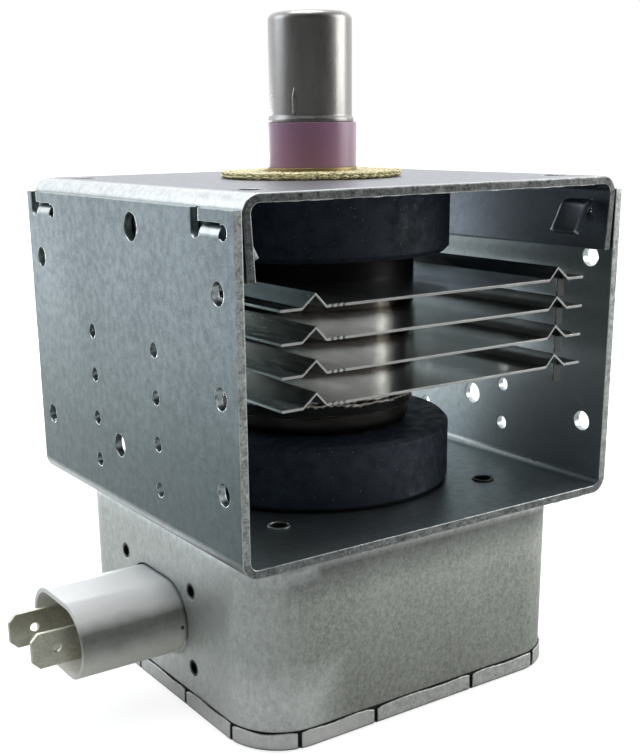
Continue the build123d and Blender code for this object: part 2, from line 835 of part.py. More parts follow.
# Earth plate inside the can's wall, riveted to it by four eyelets and soldered round the capacitor
inside_plane = Plane(origin=(can_inside_x, connector_y, connector_z), x_dir=(0, -1, 0), z_dir=(-1, 0, 0))
with BuildPart() as earth_plate:
    with BuildSketch(inside_plane):
        RectangleRounded(plate_width, plate_height, plate_corner)
    extrude(amount=-plate_sheet)
    with BuildSketch(inside_plane):
        with GridLocations(2 * plate_eyelet_y, 2 * plate_eyelet_z, 2, 2):
            Circle(plate_eyelet_bore + plate_eyelet_wall)
    extrude(amount=can_sheet)
    with BuildSketch(connector_plane):
        SlotOverall(connector_width + 2 * fit_gap, connector_height + 2 * fit_gap)
        with GridLocations(2 * plate_eyelet_y, 2 * plate_eyelet_z, 2, 2):
            Circle(plate_eyelet_bore)
    extrude(amount=-(can_sheet + plate_sheet), mode=Mode.SUBTRACT)

earth_plate.part.label = "earth_plate"
export_step(earth_plate.part, "parts/earth_plate.step")

# Capacitor block, potted in the housing behind the socket
floor_plane = Plane(origin=(socket_floor_x, connector_y, connector_z), x_dir=(0, -1, 0), z_dir=(-1, 0, 0))
with BuildPart() as capacitor_block:
    with BuildSketch(floor_plane):
        SlotOverall(
            connector_width - 2 * (connector_wall + fit_gap),
            connector_height - 2 * (connector_wall + fit_gap),
        )
        with GridLocations(terminal_spacing, 0, 2, 1):
            Circle(feed_rod_radius + fit_gap, mode=Mode.SUBTRACT)
    extrude(amount=-(connector_end_x - socket_floor_x))

capacitor_block.part.label = "capacitor_block"
export_step(capacitor_block.part, "parts/capacitor_block.step")

# Heater terminals: push-on tabs, each on the rod that feeds through the capacitor
tab_tip_x = mouth_x - terminal_protrusion
rod_end_x = connector_end_x + feed_rod_end
tab_length = socket_floor_x - tab_tip_x
for name, side in (("terminal_front", -1), ("terminal_rear", 1)):
    terminal_y = connector_y + side * terminal_spacing / 2
    with BuildPart() as terminal:
        with BuildSketch(Plane.XZ.offset(-terminal_y)) as tab:
            with Locations(((tab_tip_x + socket_floor_x) / 2, connector_z)):
                Rectangle(tab_length, terminal_width)
            chamfer(tab.vertices().group_by(Axis.X)[0], terminal_chamfer)
            with Locations((tab_tip_x + terminal_hole_inset, connector_z)):
                Circle(terminal_hole_radius, mode=Mode.SUBTRACT)
        extrude(amount=terminal_thickness / 2, both=True)
        with BuildSketch(Plane.YZ.offset(socket_floor_x)):
            with Locations((terminal_y, connector_z)):
                Circle(feed_rod_radius)
        extrude(amount=rod_end_x - socket_floor_x)
    terminal.part.label = name
    export_step(terminal.part, f"parts/{name}.step")

# Choke coils beside the stem, each wound on a ferrite rod, from a feed rod to a cathode lead
coil_length = choke_turns * choke_pitch
for name, core_name, side, lead_x in (
    ("choke_coil_front", "choke_core_front", -1, -lead_spacing / 2),
    ("choke_coil_rear", "choke_core_rear", 1, lead_spacing / 2),
):
    feed = (rod_end_x, connector_y + side * terminal_spacing / 2, connector_z)
    feed_knee = (rod_end_x + 2 * choke_leg_bend, feed[1], connector_z)
    axis_y = side * choke_offset
    with BuildPart() as choke:
        with BuildLine():
            winding = Helix(
                pitch=choke_pitch,
                height=coil_length,
                radius=choke_radius,
                center=(-coil_length / 2, axis_y, connector_z),
                direction=(1, 0, 0),
            )
        with BuildSketch(Plane(origin=winding @ 0, z_dir=winding % 0)):
            Rectangle(2 * choke_wire_radius, 2 * choke_wire_radius)
        sweep(path=winding, is_frenet=True)
        for start, knee, end in (
            (feed, feed_knee, winding @ 0),
            ((lead_x, 0, lead_end), (lead_x, 0, connector_z), winding @ 1),
        ):
            with BuildLine() as leg:
                FilletPolyline(start, knee, end, radius=choke_leg_bend)
            leg_path = leg.wires()[0]
            with BuildSketch(Plane(origin=leg_path @ 0, z_dir=leg_path % 0)):
                Circle(choke_wire_radius)
            sweep(path=leg_path)
    choke.part.label = name
    export_step(choke.part, f"parts/{name}.step")

    with BuildPart() as core:
        with BuildSketch(Plane.YZ.offset(-choke_core_length / 2)):
            with Locations((axis_y, connector_z)):
                Circle(choke_radius - choke_wire_radius - 2 * loose_gap)
        extrude(amount=choke_core_length)
    core.part.label = core_name
    export_step(core.part, f"parts/{core_name}.step")
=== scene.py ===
import math

import bmesh
import bpy
from bpy.props import FloatProperty, FloatVectorProperty, IntProperty, PointerProperty
from mathutils import Matrix, Vector


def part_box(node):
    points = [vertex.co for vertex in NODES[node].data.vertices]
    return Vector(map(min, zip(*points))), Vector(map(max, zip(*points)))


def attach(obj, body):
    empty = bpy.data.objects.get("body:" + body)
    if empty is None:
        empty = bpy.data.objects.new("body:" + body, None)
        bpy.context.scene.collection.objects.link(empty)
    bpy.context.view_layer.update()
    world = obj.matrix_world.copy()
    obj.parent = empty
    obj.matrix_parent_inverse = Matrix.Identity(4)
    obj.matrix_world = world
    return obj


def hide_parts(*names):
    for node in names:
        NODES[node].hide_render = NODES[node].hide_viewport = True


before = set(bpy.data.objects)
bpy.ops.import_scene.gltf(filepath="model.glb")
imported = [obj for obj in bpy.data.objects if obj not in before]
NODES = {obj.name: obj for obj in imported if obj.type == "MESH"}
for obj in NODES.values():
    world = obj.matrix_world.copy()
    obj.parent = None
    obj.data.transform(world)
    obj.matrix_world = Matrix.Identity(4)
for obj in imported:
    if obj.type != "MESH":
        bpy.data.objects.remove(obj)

bl_info = {
    "name": "Magnetron",
    "version": (1, 0, 0),
    "blender": (4, 5, 0),
    "location": "View3D > Sidebar > Magnetron",
    "description": "Finishes, small pieces and studio for the packaged cavity magnetron",
    "category": "Object",
}

MM = 0.001

# Metres, beyond every piece: the border of a zone on a side where it has no end
FAR = 1.0
ENDLESS = (-FAR, FAR)

# Level direction from the camera's side of the scene to its back
BACKWARDS = (0.557, 0.830, 0.0)


def colour(name, value, about):
    return FloatVectorProperty(
        name=name, description=about, default=value, min=0, max=1, size=3, subtype="COLOR"
    )


def length(name, value, about):
    return FloatProperty(
        name=name, description=about, default=value, min=0, subtype="DISTANCE", unit="LENGTH"
    )


def factor(name, value, about):
    return FloatProperty(name=name, description=about, default=value, min=0, max=1, subtype="FACTOR")


def power(name, value, about):
    return FloatProperty(name=name, description=about, default=value, min=0, unit="POWER")


class YokeSettings(bpy.types.PropertyGroup):
    """Galvanised sheet of the yoke box."""

    zinc: colour("Zinc", (0.232, 0.278, 0.300), "Main colour of the galvanised sheet")
    bloom: colour("Bloom", (0.122, 0.157, 0.174), "Darker patches of the galvanised sheet")
    plate: colour("Plate", (0.30, 0.315, 0.35), "Upper side of the mounting plate")
    # Painted light: the inner faces are much lighter than the outer zinc, standing in for light that reaches
    # the inside of the box
    inner: colour("Inner Walls", (0.46, 0.52, 0.54), "Inner side of the walls and the bottom plate")
    inner_flange: colour("Inner Flanges", (0.26, 0.30, 0.35), "Inner side of the mounting plate's flanges")
    bright_edge: colour("Bright Edge", (0.90, 0.93, 0.94), "Bare metal on sheared and punched edges")
    roughness: factor("Roughness", 0.42, "Roughness of the sheet")
    edge_radius: length("Edge Radius", 0.28 * MM, "Rounding of the sheared edges")


class MagnetSettings(bpy.types.PropertyGroup):
    """Ferrite of the ring magnets."""

    ferrite: colour("Ferrite", (0.0095, 0.0135, 0.0235), "Main colour of the sintered ferrite")
    dust: colour("Dust", (0.026, 0.038, 0.062), "Pale dust on the ferrite")
    roughness: factor("Roughness", 0.55, "Roughness of the ferrite")


class TubeSettings(bpy.types.PropertyGroup):
    """Anode, seal shells and antenna."""

    anode: colour("Anode", (0.150, 0.132, 0.118), "Plated anode cylinder")
    copper: colour("Copper", (0.62, 0.33, 0.22), "Bare copper of the inner parts")
    # Partly heat tint and partly painted shade: the anode's ends lie in shaded gaps
    scorch_and_shade: colour("Scorch", (0.005, 0.0055, 0.0065), "Ends of the anode, darkened by brazing")
    steel: colour("Steel", (0.50, 0.49, 0.48), "Seal shells and pole pieces")
    browned: colour("Browned Cup", (0.030, 0.024, 0.022), "Cup under the anode, browned by brazing")
    ceramic: colour("Ceramic", (0.42, 0.21, 0.36), "Glazed antenna ceramic")
    stem: colour("Stem", (0.80, 0.77, 0.70), "Input stem ceramic")
    cap: colour("Cap", (0.345, 0.337, 0.333), "Drawn antenna cap")
    seam_height: length("Seam Height", 4.7 * MM, "Height of the ridge at the foot of the cap")


class GasketSettings(bpy.types.PropertyGroup):
    """Knitted wire gasket."""

    wire: colour("Wire", (1.0, 0.98, 0.70), "Brass wire")
    tarnish: colour("Tarnish", (0.88, 0.76, 0.36), "Tarnished wire")
    stitches: IntProperty(name="Stitches", description="Stitches in one round", default=52, min=8, max=90)
    rounds: IntProperty(name="Rounds", description="Rounds of knitting in one layer", default=7, min=2, max=9)
    wire_radius: length("Wire Radius", 0.15 * MM, "Radius of the knitted wire")


class FinSettings(bpy.types.PropertyGroup):
    """Aluminium cooling fins."""

    aluminium: colour("Aluminium", (0.93, 0.93, 0.92), "Rolled aluminium")
    shade: colour("Rolling Shade", (0.82, 0.825, 0.82), "Darker rolling lines")
    roughness: factor("Roughness", 0.20, "Roughness of the rolled sheet")


class FilterSettings(bpy.types.PropertyGroup):
    """Filter can and its crimped lid."""

    can: colour("Can", (0.56, 0.585, 0.55), "Drawn steel of the can")
    can_shade: colour("Can Shade", (0.30, 0.315, 0.295), "Darker drawing marks of the can")
    lid: colour("Lid", (0.92, 0.94, 0.92), "Tinned lid")
    gap: length("Slit Width", 0.8 * MM, "Width of the slits between the lid's flaps")
    dent_depth: length("Dent Depth", 0.22 * MM, "Depth of the crimping dents in the flaps")


class ConnectorSettings(bpy.types.PropertyGroup):
    """Heater connector."""

    plastic: colour("Plastic", (0.80, 0.80, 0.785), "Outer surface of the moulded housing")
    inside: colour("Inside", (0.80, 0.76, 0.64), "Walls of the socket, warmer than the outer surface")
    resin: colour("Resin", (0.78, 0.72, 0.56), "Potting resin at the socket's floor")
    tab: colour("Tab", (0.62, 0.61, 0.52), "Dull plating of the push-on tabs")


class StudioSettings(bpy.types.PropertyGroup):
    """Camera, lamps and floor."""

    focal_length: FloatProperty(
        name="Focal Length", description="Lens of the studio camera", default=55.505, min=1, unit="CAMERA"
    )
    left: power("Left Lamp", 0.72, "Large lamp at the camera's left")
    right: power("Right Lamp", 1.3, "Large lamp at the camera's right")
    top: power("Top Lamp", 2.3, "Lamp over the mounting plate")
    rear: power("Rear Lamp", 1.7, "Low lamp behind the open box")
    floor: colour("Floor", (0.50, 0.51, 0.50), "Floor under the lamps, which the camera sees as white")


SETTINGS = {
    "magnetron_yoke": YokeSettings,
    "magnetron_magnets": MagnetSettings,
    "magnetron_tube": TubeSettings,
    "magnetron_gasket": GasketSettings,
    "magnetron_fins": FinSettings,
    "magnetron_filter": FilterSettings,
    "magnetron_connector": ConnectorSettings,
    "magnetron_studio": StudioSettings,
}


def settings(group):
    return getattr(bpy.context.scene, f"magnetron_{group}")


# Node helpers


def wire_up(tree, kind, inputs=None, **options):
    """New node, with its options set and each input either given a value or linked to a socket."""
    made = tree.nodes.new(kind)
    for option, value in options.items():
        setattr(made, option, value)
    for key, value in (inputs or {}).items():
        if isinstance(value, bpy.types.NodeSocket):
            tree.links.new(value, made.inputs[key])
        else:
            made.inputs[key].default_value = value
    return made


def maths(tree, operation, first, second=0.0, third=0.0):
    inputs = {0: first, 1: second, 2: third}
    return wire_up(tree, "ShaderNodeMath", inputs, operation=operation).outputs[0]


def vector_maths(tree, operation, first, second=(0, 0, 0), output="Vector"):
    inputs = {0: first, 1: second}
    return wire_up(tree, "ShaderNodeVectorMath", inputs, operation=operation).outputs[output]


def spread(tree, value, low, high, to_low=0.0, to_high=1.0):
    """Maps a range of a value onto another, and clamps it."""
    inputs = {"Value": value, "From Min": low, "From Max": high, "To Min": to_low, "To Max": to_high}
    return wire_up(tree, "ShaderNodeMapRange", inputs).outputs[0]


def blend_colours(tree, mask, first, second):
    """Mixes two colours, which the Mix node takes in its sockets 6 and 7."""
    inputs = {"Factor": mask, 6: first, 7: second}
    return wire_up(tree, "ShaderNodeMix", inputs, data_type="RGBA").outputs[2]


def own_place(tree):
    """Place in the object's own coordinates."""
    return wire_up(tree, "ShaderNodeTexCoord").outputs["Object"]


def noise(tree, place, scale, detail, roughness=0.5):
    inputs = {"Vector": place, "Scale": scale, "Detail": detail, "Roughness": roughness}
    return wire_up(tree, "ShaderNodeTexNoise", inputs).outputs["Fac"]


def rgba(value):
    return (*value[:3], 1.0)


def darker(value, share):
    return [share * part for part in value]


def new_group(name, inputs, outputs, kind="ShaderNodeTree"):
    """Node group with named sockets. Returns the tree, its input node and its output node."""
    tree = bpy.data.node_groups.new(name, kind)
    for title, (socket_type, default) in inputs.items():
        socket = tree.interface.new_socket(title, in_out="INPUT", socket_type=f"NodeSocket{socket_type}")
        if default is not None:
            socket.default_value = default
    for title, socket_type in outputs.items():
        tree.interface.new_socket(title, in_out="OUTPUT", socket_type=f"NodeSocket{socket_type}")
    return tree, tree.nodes.new("NodeGroupInput").outputs, tree.nodes.new("NodeGroupOutput").inputs


def give(tree, result, **sockets):
    """Links what a group has made to its output node."""
    for title, socket in sockets.items():
        tree.links.new(socket, result[title])


def placed_group(tree, group, inputs):
    return wire_up(tree, "ShaderNodeGroup", inputs, node_tree=bpy.data.node_groups[group]).outputs


def build_cloudy_metal():
    """Two shades of metal in soft clouds and small flecks, which may be drawn out along an axis."""
    tree, given, result = new_group(
        "Cloudy Metal",
        {
            "Light": ("Color", (1, 1, 1, 1)),
            "Dark": ("Color", (0, 0, 0, 1)),
            "Stretch": ("Vector", (1, 1, 1)),
            "Cloud Scale": ("Float", 90),
            "Fleck Scale": ("Float", 900),
            "Fleck Strength": ("Float", 0.35),
            "Broad Strength": ("Float", 0.15),
        },
        {"Color": "Color", "Clouds": "Float", "Flecks": "Float"},
    )
    mapped = {"Vector": own_place(tree), "Scale": given["Stretch"]}
    place = wire_up(tree, "ShaderNodeMapping", mapped).outputs[0]
    clouds = spread(tree, noise(tree, place, given["Cloud Scale"], 6, 0.62), 0.36, 0.66)
    flecks = spread(tree, noise(tree, place, given["Fleck Scale"], 3, 0.75), 0.38, 0.64)
    broad = spread(tree, noise(tree, place, 26, 2), 0.32, 0.68, -1.0, 1.0)
    share = maths(tree, "MULTIPLY", flecks, given["Fleck Strength"])
    rest = maths(tree, "SUBTRACT", 1.0, given["Fleck Strength"])
    mask = maths(tree, "MULTIPLY_ADD", clouds, rest, share)
    mask = maths(tree, "MULTIPLY_ADD", broad, given["Broad Strength"], mask)
    shade = blend_colours(tree, mask, given["Light"], given["Dark"])
    give(tree, result, Color=shade, Clouds=clouds, Flecks=flecks)


def build_worn_edges_and_crevice_shade():
    """Rounds edges in the shading, lets another colour through along them, and paints shade into crevices."""
    tree, given, result = new_group(
        "Worn Edges and Crevice Shade",
        {
            "Color": ("Color", (1, 1, 1, 1)),
            "Edge Color": ("Color", (1, 1, 1, 1)),
            "Radius": ("Float", 0.3 * MM),
            "Wear": ("Float", 0.6),
            "Crevice": ("Float", 0.8),
            "Crevice Depth": ("Float", 0.9 * MM),
        },
        {"Color": "Color", "Mask": "Float", "Normal": "Vector"},
    )
    # Painted shade: near-black colour mixed in where ambient occlusion finds crevices, recesses and joints
    # between parts
    crevice_shade = (0.012, 0.013, 0.015, 1.0)
    rounded = wire_up(tree, "ShaderNodeBevel", {"Radius": given["Radius"]}, samples=6).outputs[0]
    flat = wire_up(tree, "ShaderNodeNewGeometry").outputs["Normal"]
    alike = vector_maths(tree, "DOT_PRODUCT", rounded, flat, "Value")
    bend = spread(tree, maths(tree, "SUBTRACT", 1.0, alike), 0.02, 0.22)
    patchy = spread(tree, noise(tree, own_place(tree), 420, 4), 0.34, 0.56, 0.35, 1.0)
    mask = maths(tree, "MULTIPLY", maths(tree, "MULTIPLY", bend, patchy), given["Wear"])
    shade = blend_colours(tree, mask, given["Color"], given["Edge Color"])
    reach = {"Distance": given["Crevice Depth"]}
    open_share = wire_up(tree, "ShaderNodeAmbientOcclusion", reach, samples=5).outputs["AO"]
    hollow = maths(tree, "MULTIPLY", spread(tree, open_share, 0.35, 0.9, 1.0, 0.0), given["Crevice"])
    shade = blend_colours(tree, hollow, shade, crevice_shade)
    give(tree, result, Color=shade, Mask=mask, Normal=rounded)


def build_zone_tint():
    """Tints the inside of a box with soft, uneven borders, or with Outside at 1 all the rest."""
    tree, given, result = new_group(
        "Zone Tint",
        {
            "Color": ("Color", (1, 1, 1, 1)),
            "Tint": ("Color", (0, 0, 0, 1)),
            "Lowest": ("Vector", (-1, -1, -1)),
            "Highest": ("Vector", (1, 1, 1)),
            "Softness": ("Float", 1 * MM),
            "Outside": ("Float", 0.0),
        },
        {"Color": "Color", "Mask": "Float"},
    )
    place = own_place(tree)
    wander = maths(tree, "SUBTRACT", noise(tree, place, 160, 3), 0.5)
    wander = maths(tree, "MULTIPLY", wander, maths(tree, "MINIMUM", given["Softness"], 2 * MM))
    place = vector_maths(tree, "ADD", place, wander)
    above = vector_maths(tree, "SUBTRACT", place, given["Lowest"])
    below = vector_maths(tree, "SUBTRACT", given["Highest"], place)
    depth = vector_maths(tree, "MINIMUM", above, below)
    parts = wire_up(tree, "ShaderNodeSeparateXYZ", {0: depth}).outputs
    depth = maths(tree, "MINIMUM", maths(tree, "MINIMUM", parts[0], parts[1]), parts[2])
    inside = spread(tree, maths(tree, "DIVIDE", depth, given["Softness"]), -0.5, 0.5)
    mask = maths(tree, "ABSOLUTE", maths(tree, "SUBTRACT", given["Outside"], inside))
    shade = blend_colours(tree, mask, given["Color"], given["Tint"])
    give(tree, result, Color=shade, Mask=mask)


def build_sparse_specks():
    """Scatters small specks of another colour, one in some of the cells of a fine pattern."""
    tree, given, result = new_group(
        "Sparse Specks",
        {
            "Color": ("Color", (1, 1, 1, 1)),
            "Speck Color": ("Color", (1, 1, 1, 1)),
            "Scale": ("Float", 1200),
            "Size": ("Float", 0.3),
            "Amount": ("Float", 0.15),
        },
        {"Color": "Color"},
    )
    pattern = {"Vector": own_place(tree), "Scale": given["Scale"]}
    cells = wire_up(tree, "ShaderNodeTexVoronoi", pattern).outputs
    core = maths(tree, "MULTIPLY", given["Size"], 0.5)
    near = spread(tree, cells["Distance"], core, given["Size"], 1.0, 0.0)
    chance = wire_up(tree, "ShaderNodeSeparateColor", {0: cells["Color"]}).outputs[0]
    mask = maths(tree, "MULTIPLY", near, maths(tree, "LESS_THAN", chance, given["Amount"]))
    give(tree, result, Color=blend_colours(tree, mask, given["Color"], given["Speck Color"]))


def build_bend_highlights():
    """Paints a highlight in another colour where level sheet is bent or rolled into upright sheet."""
    tree, given, result = new_group(
        "Painted Bend Highlights",
        {
            "Color": ("Color", (1, 1, 1, 1)),
            "Bend Color": ("Color", (1, 1, 1, 1)),
            "Strength": ("Float", 0.8),
        },
        {"Color": "Color", "Mask": "Float"},
    )
    facing = wire_up(tree, "ShaderNodeTexCoord").outputs["Normal"]
    parts = wire_up(tree, "ShaderNodeSeparateXYZ", {0: facing}).outputs
    along_x, along_y = (maths(tree, "ABSOLUTE", part) for part in parts[:2])
    sideways = maths(tree, "MAXIMUM", along_x, along_y)
    slant = maths(tree, "ABSOLUTE", maths(tree, "MULTIPLY", sideways, parts[2]))
    mask = maths(tree, "MULTIPLY", spread(tree, slant, 0.04, 0.28), given["Strength"])
    shade = blend_colours(tree, mask, given["Color"], given["Bend Color"])
    give(tree, result, Color=shade, Mask=mask)


def build_fine_grain():
    """Height of a fine grain, drawn out along an axis, with soft waves under it."""
    tree, given, result = new_group(
        "Fine Grain",
        {
            "Stretch": ("Vector", (1, 1, 1)),
            "Scale": ("Float", 1500),
            "Wave Scale": ("Float", 60),
            "Waves": ("Float", 0.3),
        },
        {"Height": "Float"},
    )
    place = own_place(tree)
    drawn = wire_up(tree, "ShaderNodeMapping", {"Vector": place, "Scale": given["Stretch"]}).outputs[0]
    grain = noise(tree, drawn, given["Scale"], 4, 0.6)
    waves = noise(tree, place, given["Wave Scale"], 2)
    give(tree, result, Height=maths(tree, "MULTIPLY_ADD", waves, given["Waves"], grain))


def laid_zones(tree, zones, shade, radius, mottling, changes):
    """Tints a shade in each zone and notes the zones' other changes. Returns the shade and edge radius."""
    for inputs, dull, rougher, wider, darkest in zones:
        tint = blend_colours(tree, mottling, inputs["Tint"], darker(inputs["Tint"], darkest))
        zoned = placed_group(tree, "Zone Tint", {**inputs, "Color": shade, "Tint": tint})
        shade = zoned["Color"]
        if wider:
            radius = maths(tree, "MULTIPLY_ADD", zoned["Mask"], wider, radius)
        changes.append((zoned["Mask"], dull, rougher))
    return shade, radius


def finish(
    name,
    light,
    dark,
    metallic=1.0,
    roughness=0.4,
    uneven=0.12,
    stretch=(1, 1, 1),
    clouds=90,
    flecks=900,
    fleck_strength=0.35,
    edge=None,
    edge_radius=0.3 * MM,
    wear=0.6,
    grain=1500,
    waves=0.3,
    wave_scale=60,
    bump=0.25,
    bump_height=0.03 * MM,
    broad=0.15,
    crevice=0.8,
    specks=None,
    bend_highlight=0.0,
    under=(),
    zones=(),
    **shader_values,
):
    """Procedural finish: cloudy colour, zones (many of them painted light and shade), painted bend
    highlights, worn edges, painted crevice shade, uneven roughness and a fine grain.
    """
    material = bpy.data.materials.new(name)
    material.use_nodes = True
    tree = material.node_tree
    shader = tree.nodes["Principled BSDF"]
    shader.inputs["Metallic"].default_value = metallic
    for socket, value in shader_values.items():
        shader.inputs[socket.replace("_", " ").title().replace("Ior", "IOR")].default_value = value
    surface = placed_group(
        tree,
        "Cloudy Metal",
        {
            "Light": rgba(light),
            "Dark": rgba(dark),
            "Stretch": stretch,
            "Cloud Scale": clouds,
            "Fleck Scale": flecks,
            "Fleck Strength": fleck_strength,
            "Broad Strength": broad,
        },
    )
    shade = surface["Color"]
    if specks:
        shade = placed_group(tree, "Sparse Specks", {"Color": shade, **specks})["Color"]
    changes = []
    mottling = maths(tree, "MULTIPLY", surface["Clouds"], 0.5)
    mottling = maths(tree, "MULTIPLY_ADD", surface["Flecks"], 0.5, mottling)
    shade, radius = laid_zones(tree, under, shade, edge_radius, mottling, changes)
    # Painted highlight on the bends of the sheet, in the edge colour and with less roughness
    if bend_highlight:
        tint = blend_colours(tree, mottling, rgba(edge), rgba(darker(edge, 0.68)))
        bent = placed_group(tree, "Painted Bend Highlights", {"Color": shade, "Bend Color": tint, "Strength": bend_highlight})
        shade = bent["Color"]
        changes.append((bent["Mask"], 0.0, -0.3 * roughness))
    shade, radius = laid_zones(tree, zones, shade, radius, mottling, changes)
    edges = placed_group(
        tree,
        "Worn Edges and Crevice Shade",
        {
            "Color": shade,
            "Edge Color": rgba(edge or light),
            "Radius": radius,
            "Wear": wear if edge else 0.0,
            "Crevice": crevice,
        },
    )
    relief = placed_group(
        tree,
        "Fine Grain",
        {"Stretch": stretch, "Scale": grain, "Wave Scale": wave_scale, "Waves": waves},
    )
    tree.links.new(edges["Color"], shader.inputs["Base Color"])
    rough = spread(tree, surface["Clouds"], 0.0, 1.0, roughness - uneven / 2, roughness + uneven)
    rough = maths(tree, "MULTIPLY_ADD", edges["Mask"], -0.35 * roughness, rough)
    metal = metallic
    for mask, dull, rougher in changes:
        if rougher:
            rough = maths(tree, "MULTIPLY_ADD", mask, rougher, rough)
        if dull:
            metal = maths(tree, "MULTIPLY", metal, spread(tree, mask, 0.0, 1.0, 1.0, 1 - dull))
    if metal is not metallic:
        tree.links.new(metal, shader.inputs["Metallic"])
    tree.links.new(rough, shader.inputs["Roughness"])
    shaped = wire_up(
        tree,
        "ShaderNodeBump",
        {"Height": relief["Height"], "Normal": edges["Normal"], "Strength": bump, "Distance": bump_height},
    )
    tree.links.new(shaped.outputs[0], shader.inputs["Normal"])
    return material


def zone(
    tint,
    softness,
    x=ENDLESS,
    y=ENDLESS,
    z=ENDLESS,
    outside=0.0,
    dull=0.0,
    rougher=0.0,
    wider=0.0,
    darkest=0.72,
):
    """Mottled tint inside a box, or with outside at 1 all round it, for a finish. It may also make the
    surface duller or rougher than the rest, or its bright worn edges wider, as painted highlights."""
    lowest, highest = zip(x, y, z)
    inputs = {"Tint": rgba(tint), "Lowest": lowest, "Highest": highest, "Softness": softness}
    inputs["Outside"] = outside
    return inputs, dull, rougher, wider, darkest


def dress(material, *names):
    """Gives CAD nodes a material."""
    for name in names:
        slots = NODES[name].data.materials
        slots.clear()
        slots.append(material)


# Mesh helpers


def finished(name, mesh, material, smooth=40):
    """Object for a finished mesh that rides on the magnetron."""
    mesh.materials.clear()
    mesh.materials.append(material)
    for face in mesh.polygons:
        face.use_smooth = True
    mesh.set_sharp_from_angle(angle=math.radians(smooth))
    piece = bpy.data.objects.new(name, mesh)
    bpy.context.scene.collection.objects.link(piece)
    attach(piece, "root")
    return piece


def mesh_from(name, shape):
    """Mesh from a bmesh, with its doubles merged and its faces turned outwards."""
    bmesh.ops.remove_doubles(shape, verts=shape.verts, dist=1e-7)
    bmesh.ops.recalc_face_normals(shape, faces=shape.faces)
    mesh = bpy.data.meshes.new(name)
    shape.to_mesh(mesh)
    shape.free()
    return mesh


def loft(shape, rings, looped=False):
    """Skins a row of equal rings of points, and closes its ends or joins them."""
    made = [[shape.verts.new(point) for point in ring] for ring in rings]
    pairs = list(zip(made, made[1:]))
    if looped:
        pairs.append((made[-1], made[0]))
    for ring, following in pairs:
        for index in range(len(ring)):
            after = (index + 1) % len(ring)
            shape.faces.new((ring[index], ring[after], following[after], following[index]))
    if not looped:
        shape.faces.new(reversed(made[0]))
        shape.faces.new(made[-1])


def circle_points(sides):
    """Points round a circle of radius 1."""
    angles = [2 * math.pi * side / sides for side in range(sides)]
    return [(math.cos(angle), math.sin(angle)) for angle in angles]


def outward(angle):
    """Level direction away from the tube's axis."""
    return Vector((math.cos(angle), math.sin(angle), 0))


class MAGNETRON_OT_groups(bpy.types.Operator):
    """Build the shader groups that the finishes share"""

    bl_idname = "magnetron.groups"
    bl_label = "Shader Groups"

    def execute(self, context):
        build_cloudy_metal()
        build_zone_tint()
        build_sparse_specks()
        build_bend_highlights()
        build_worn_edges_and_crevice_shade()
        build_fine_grain()
        return {"FINISHED"}


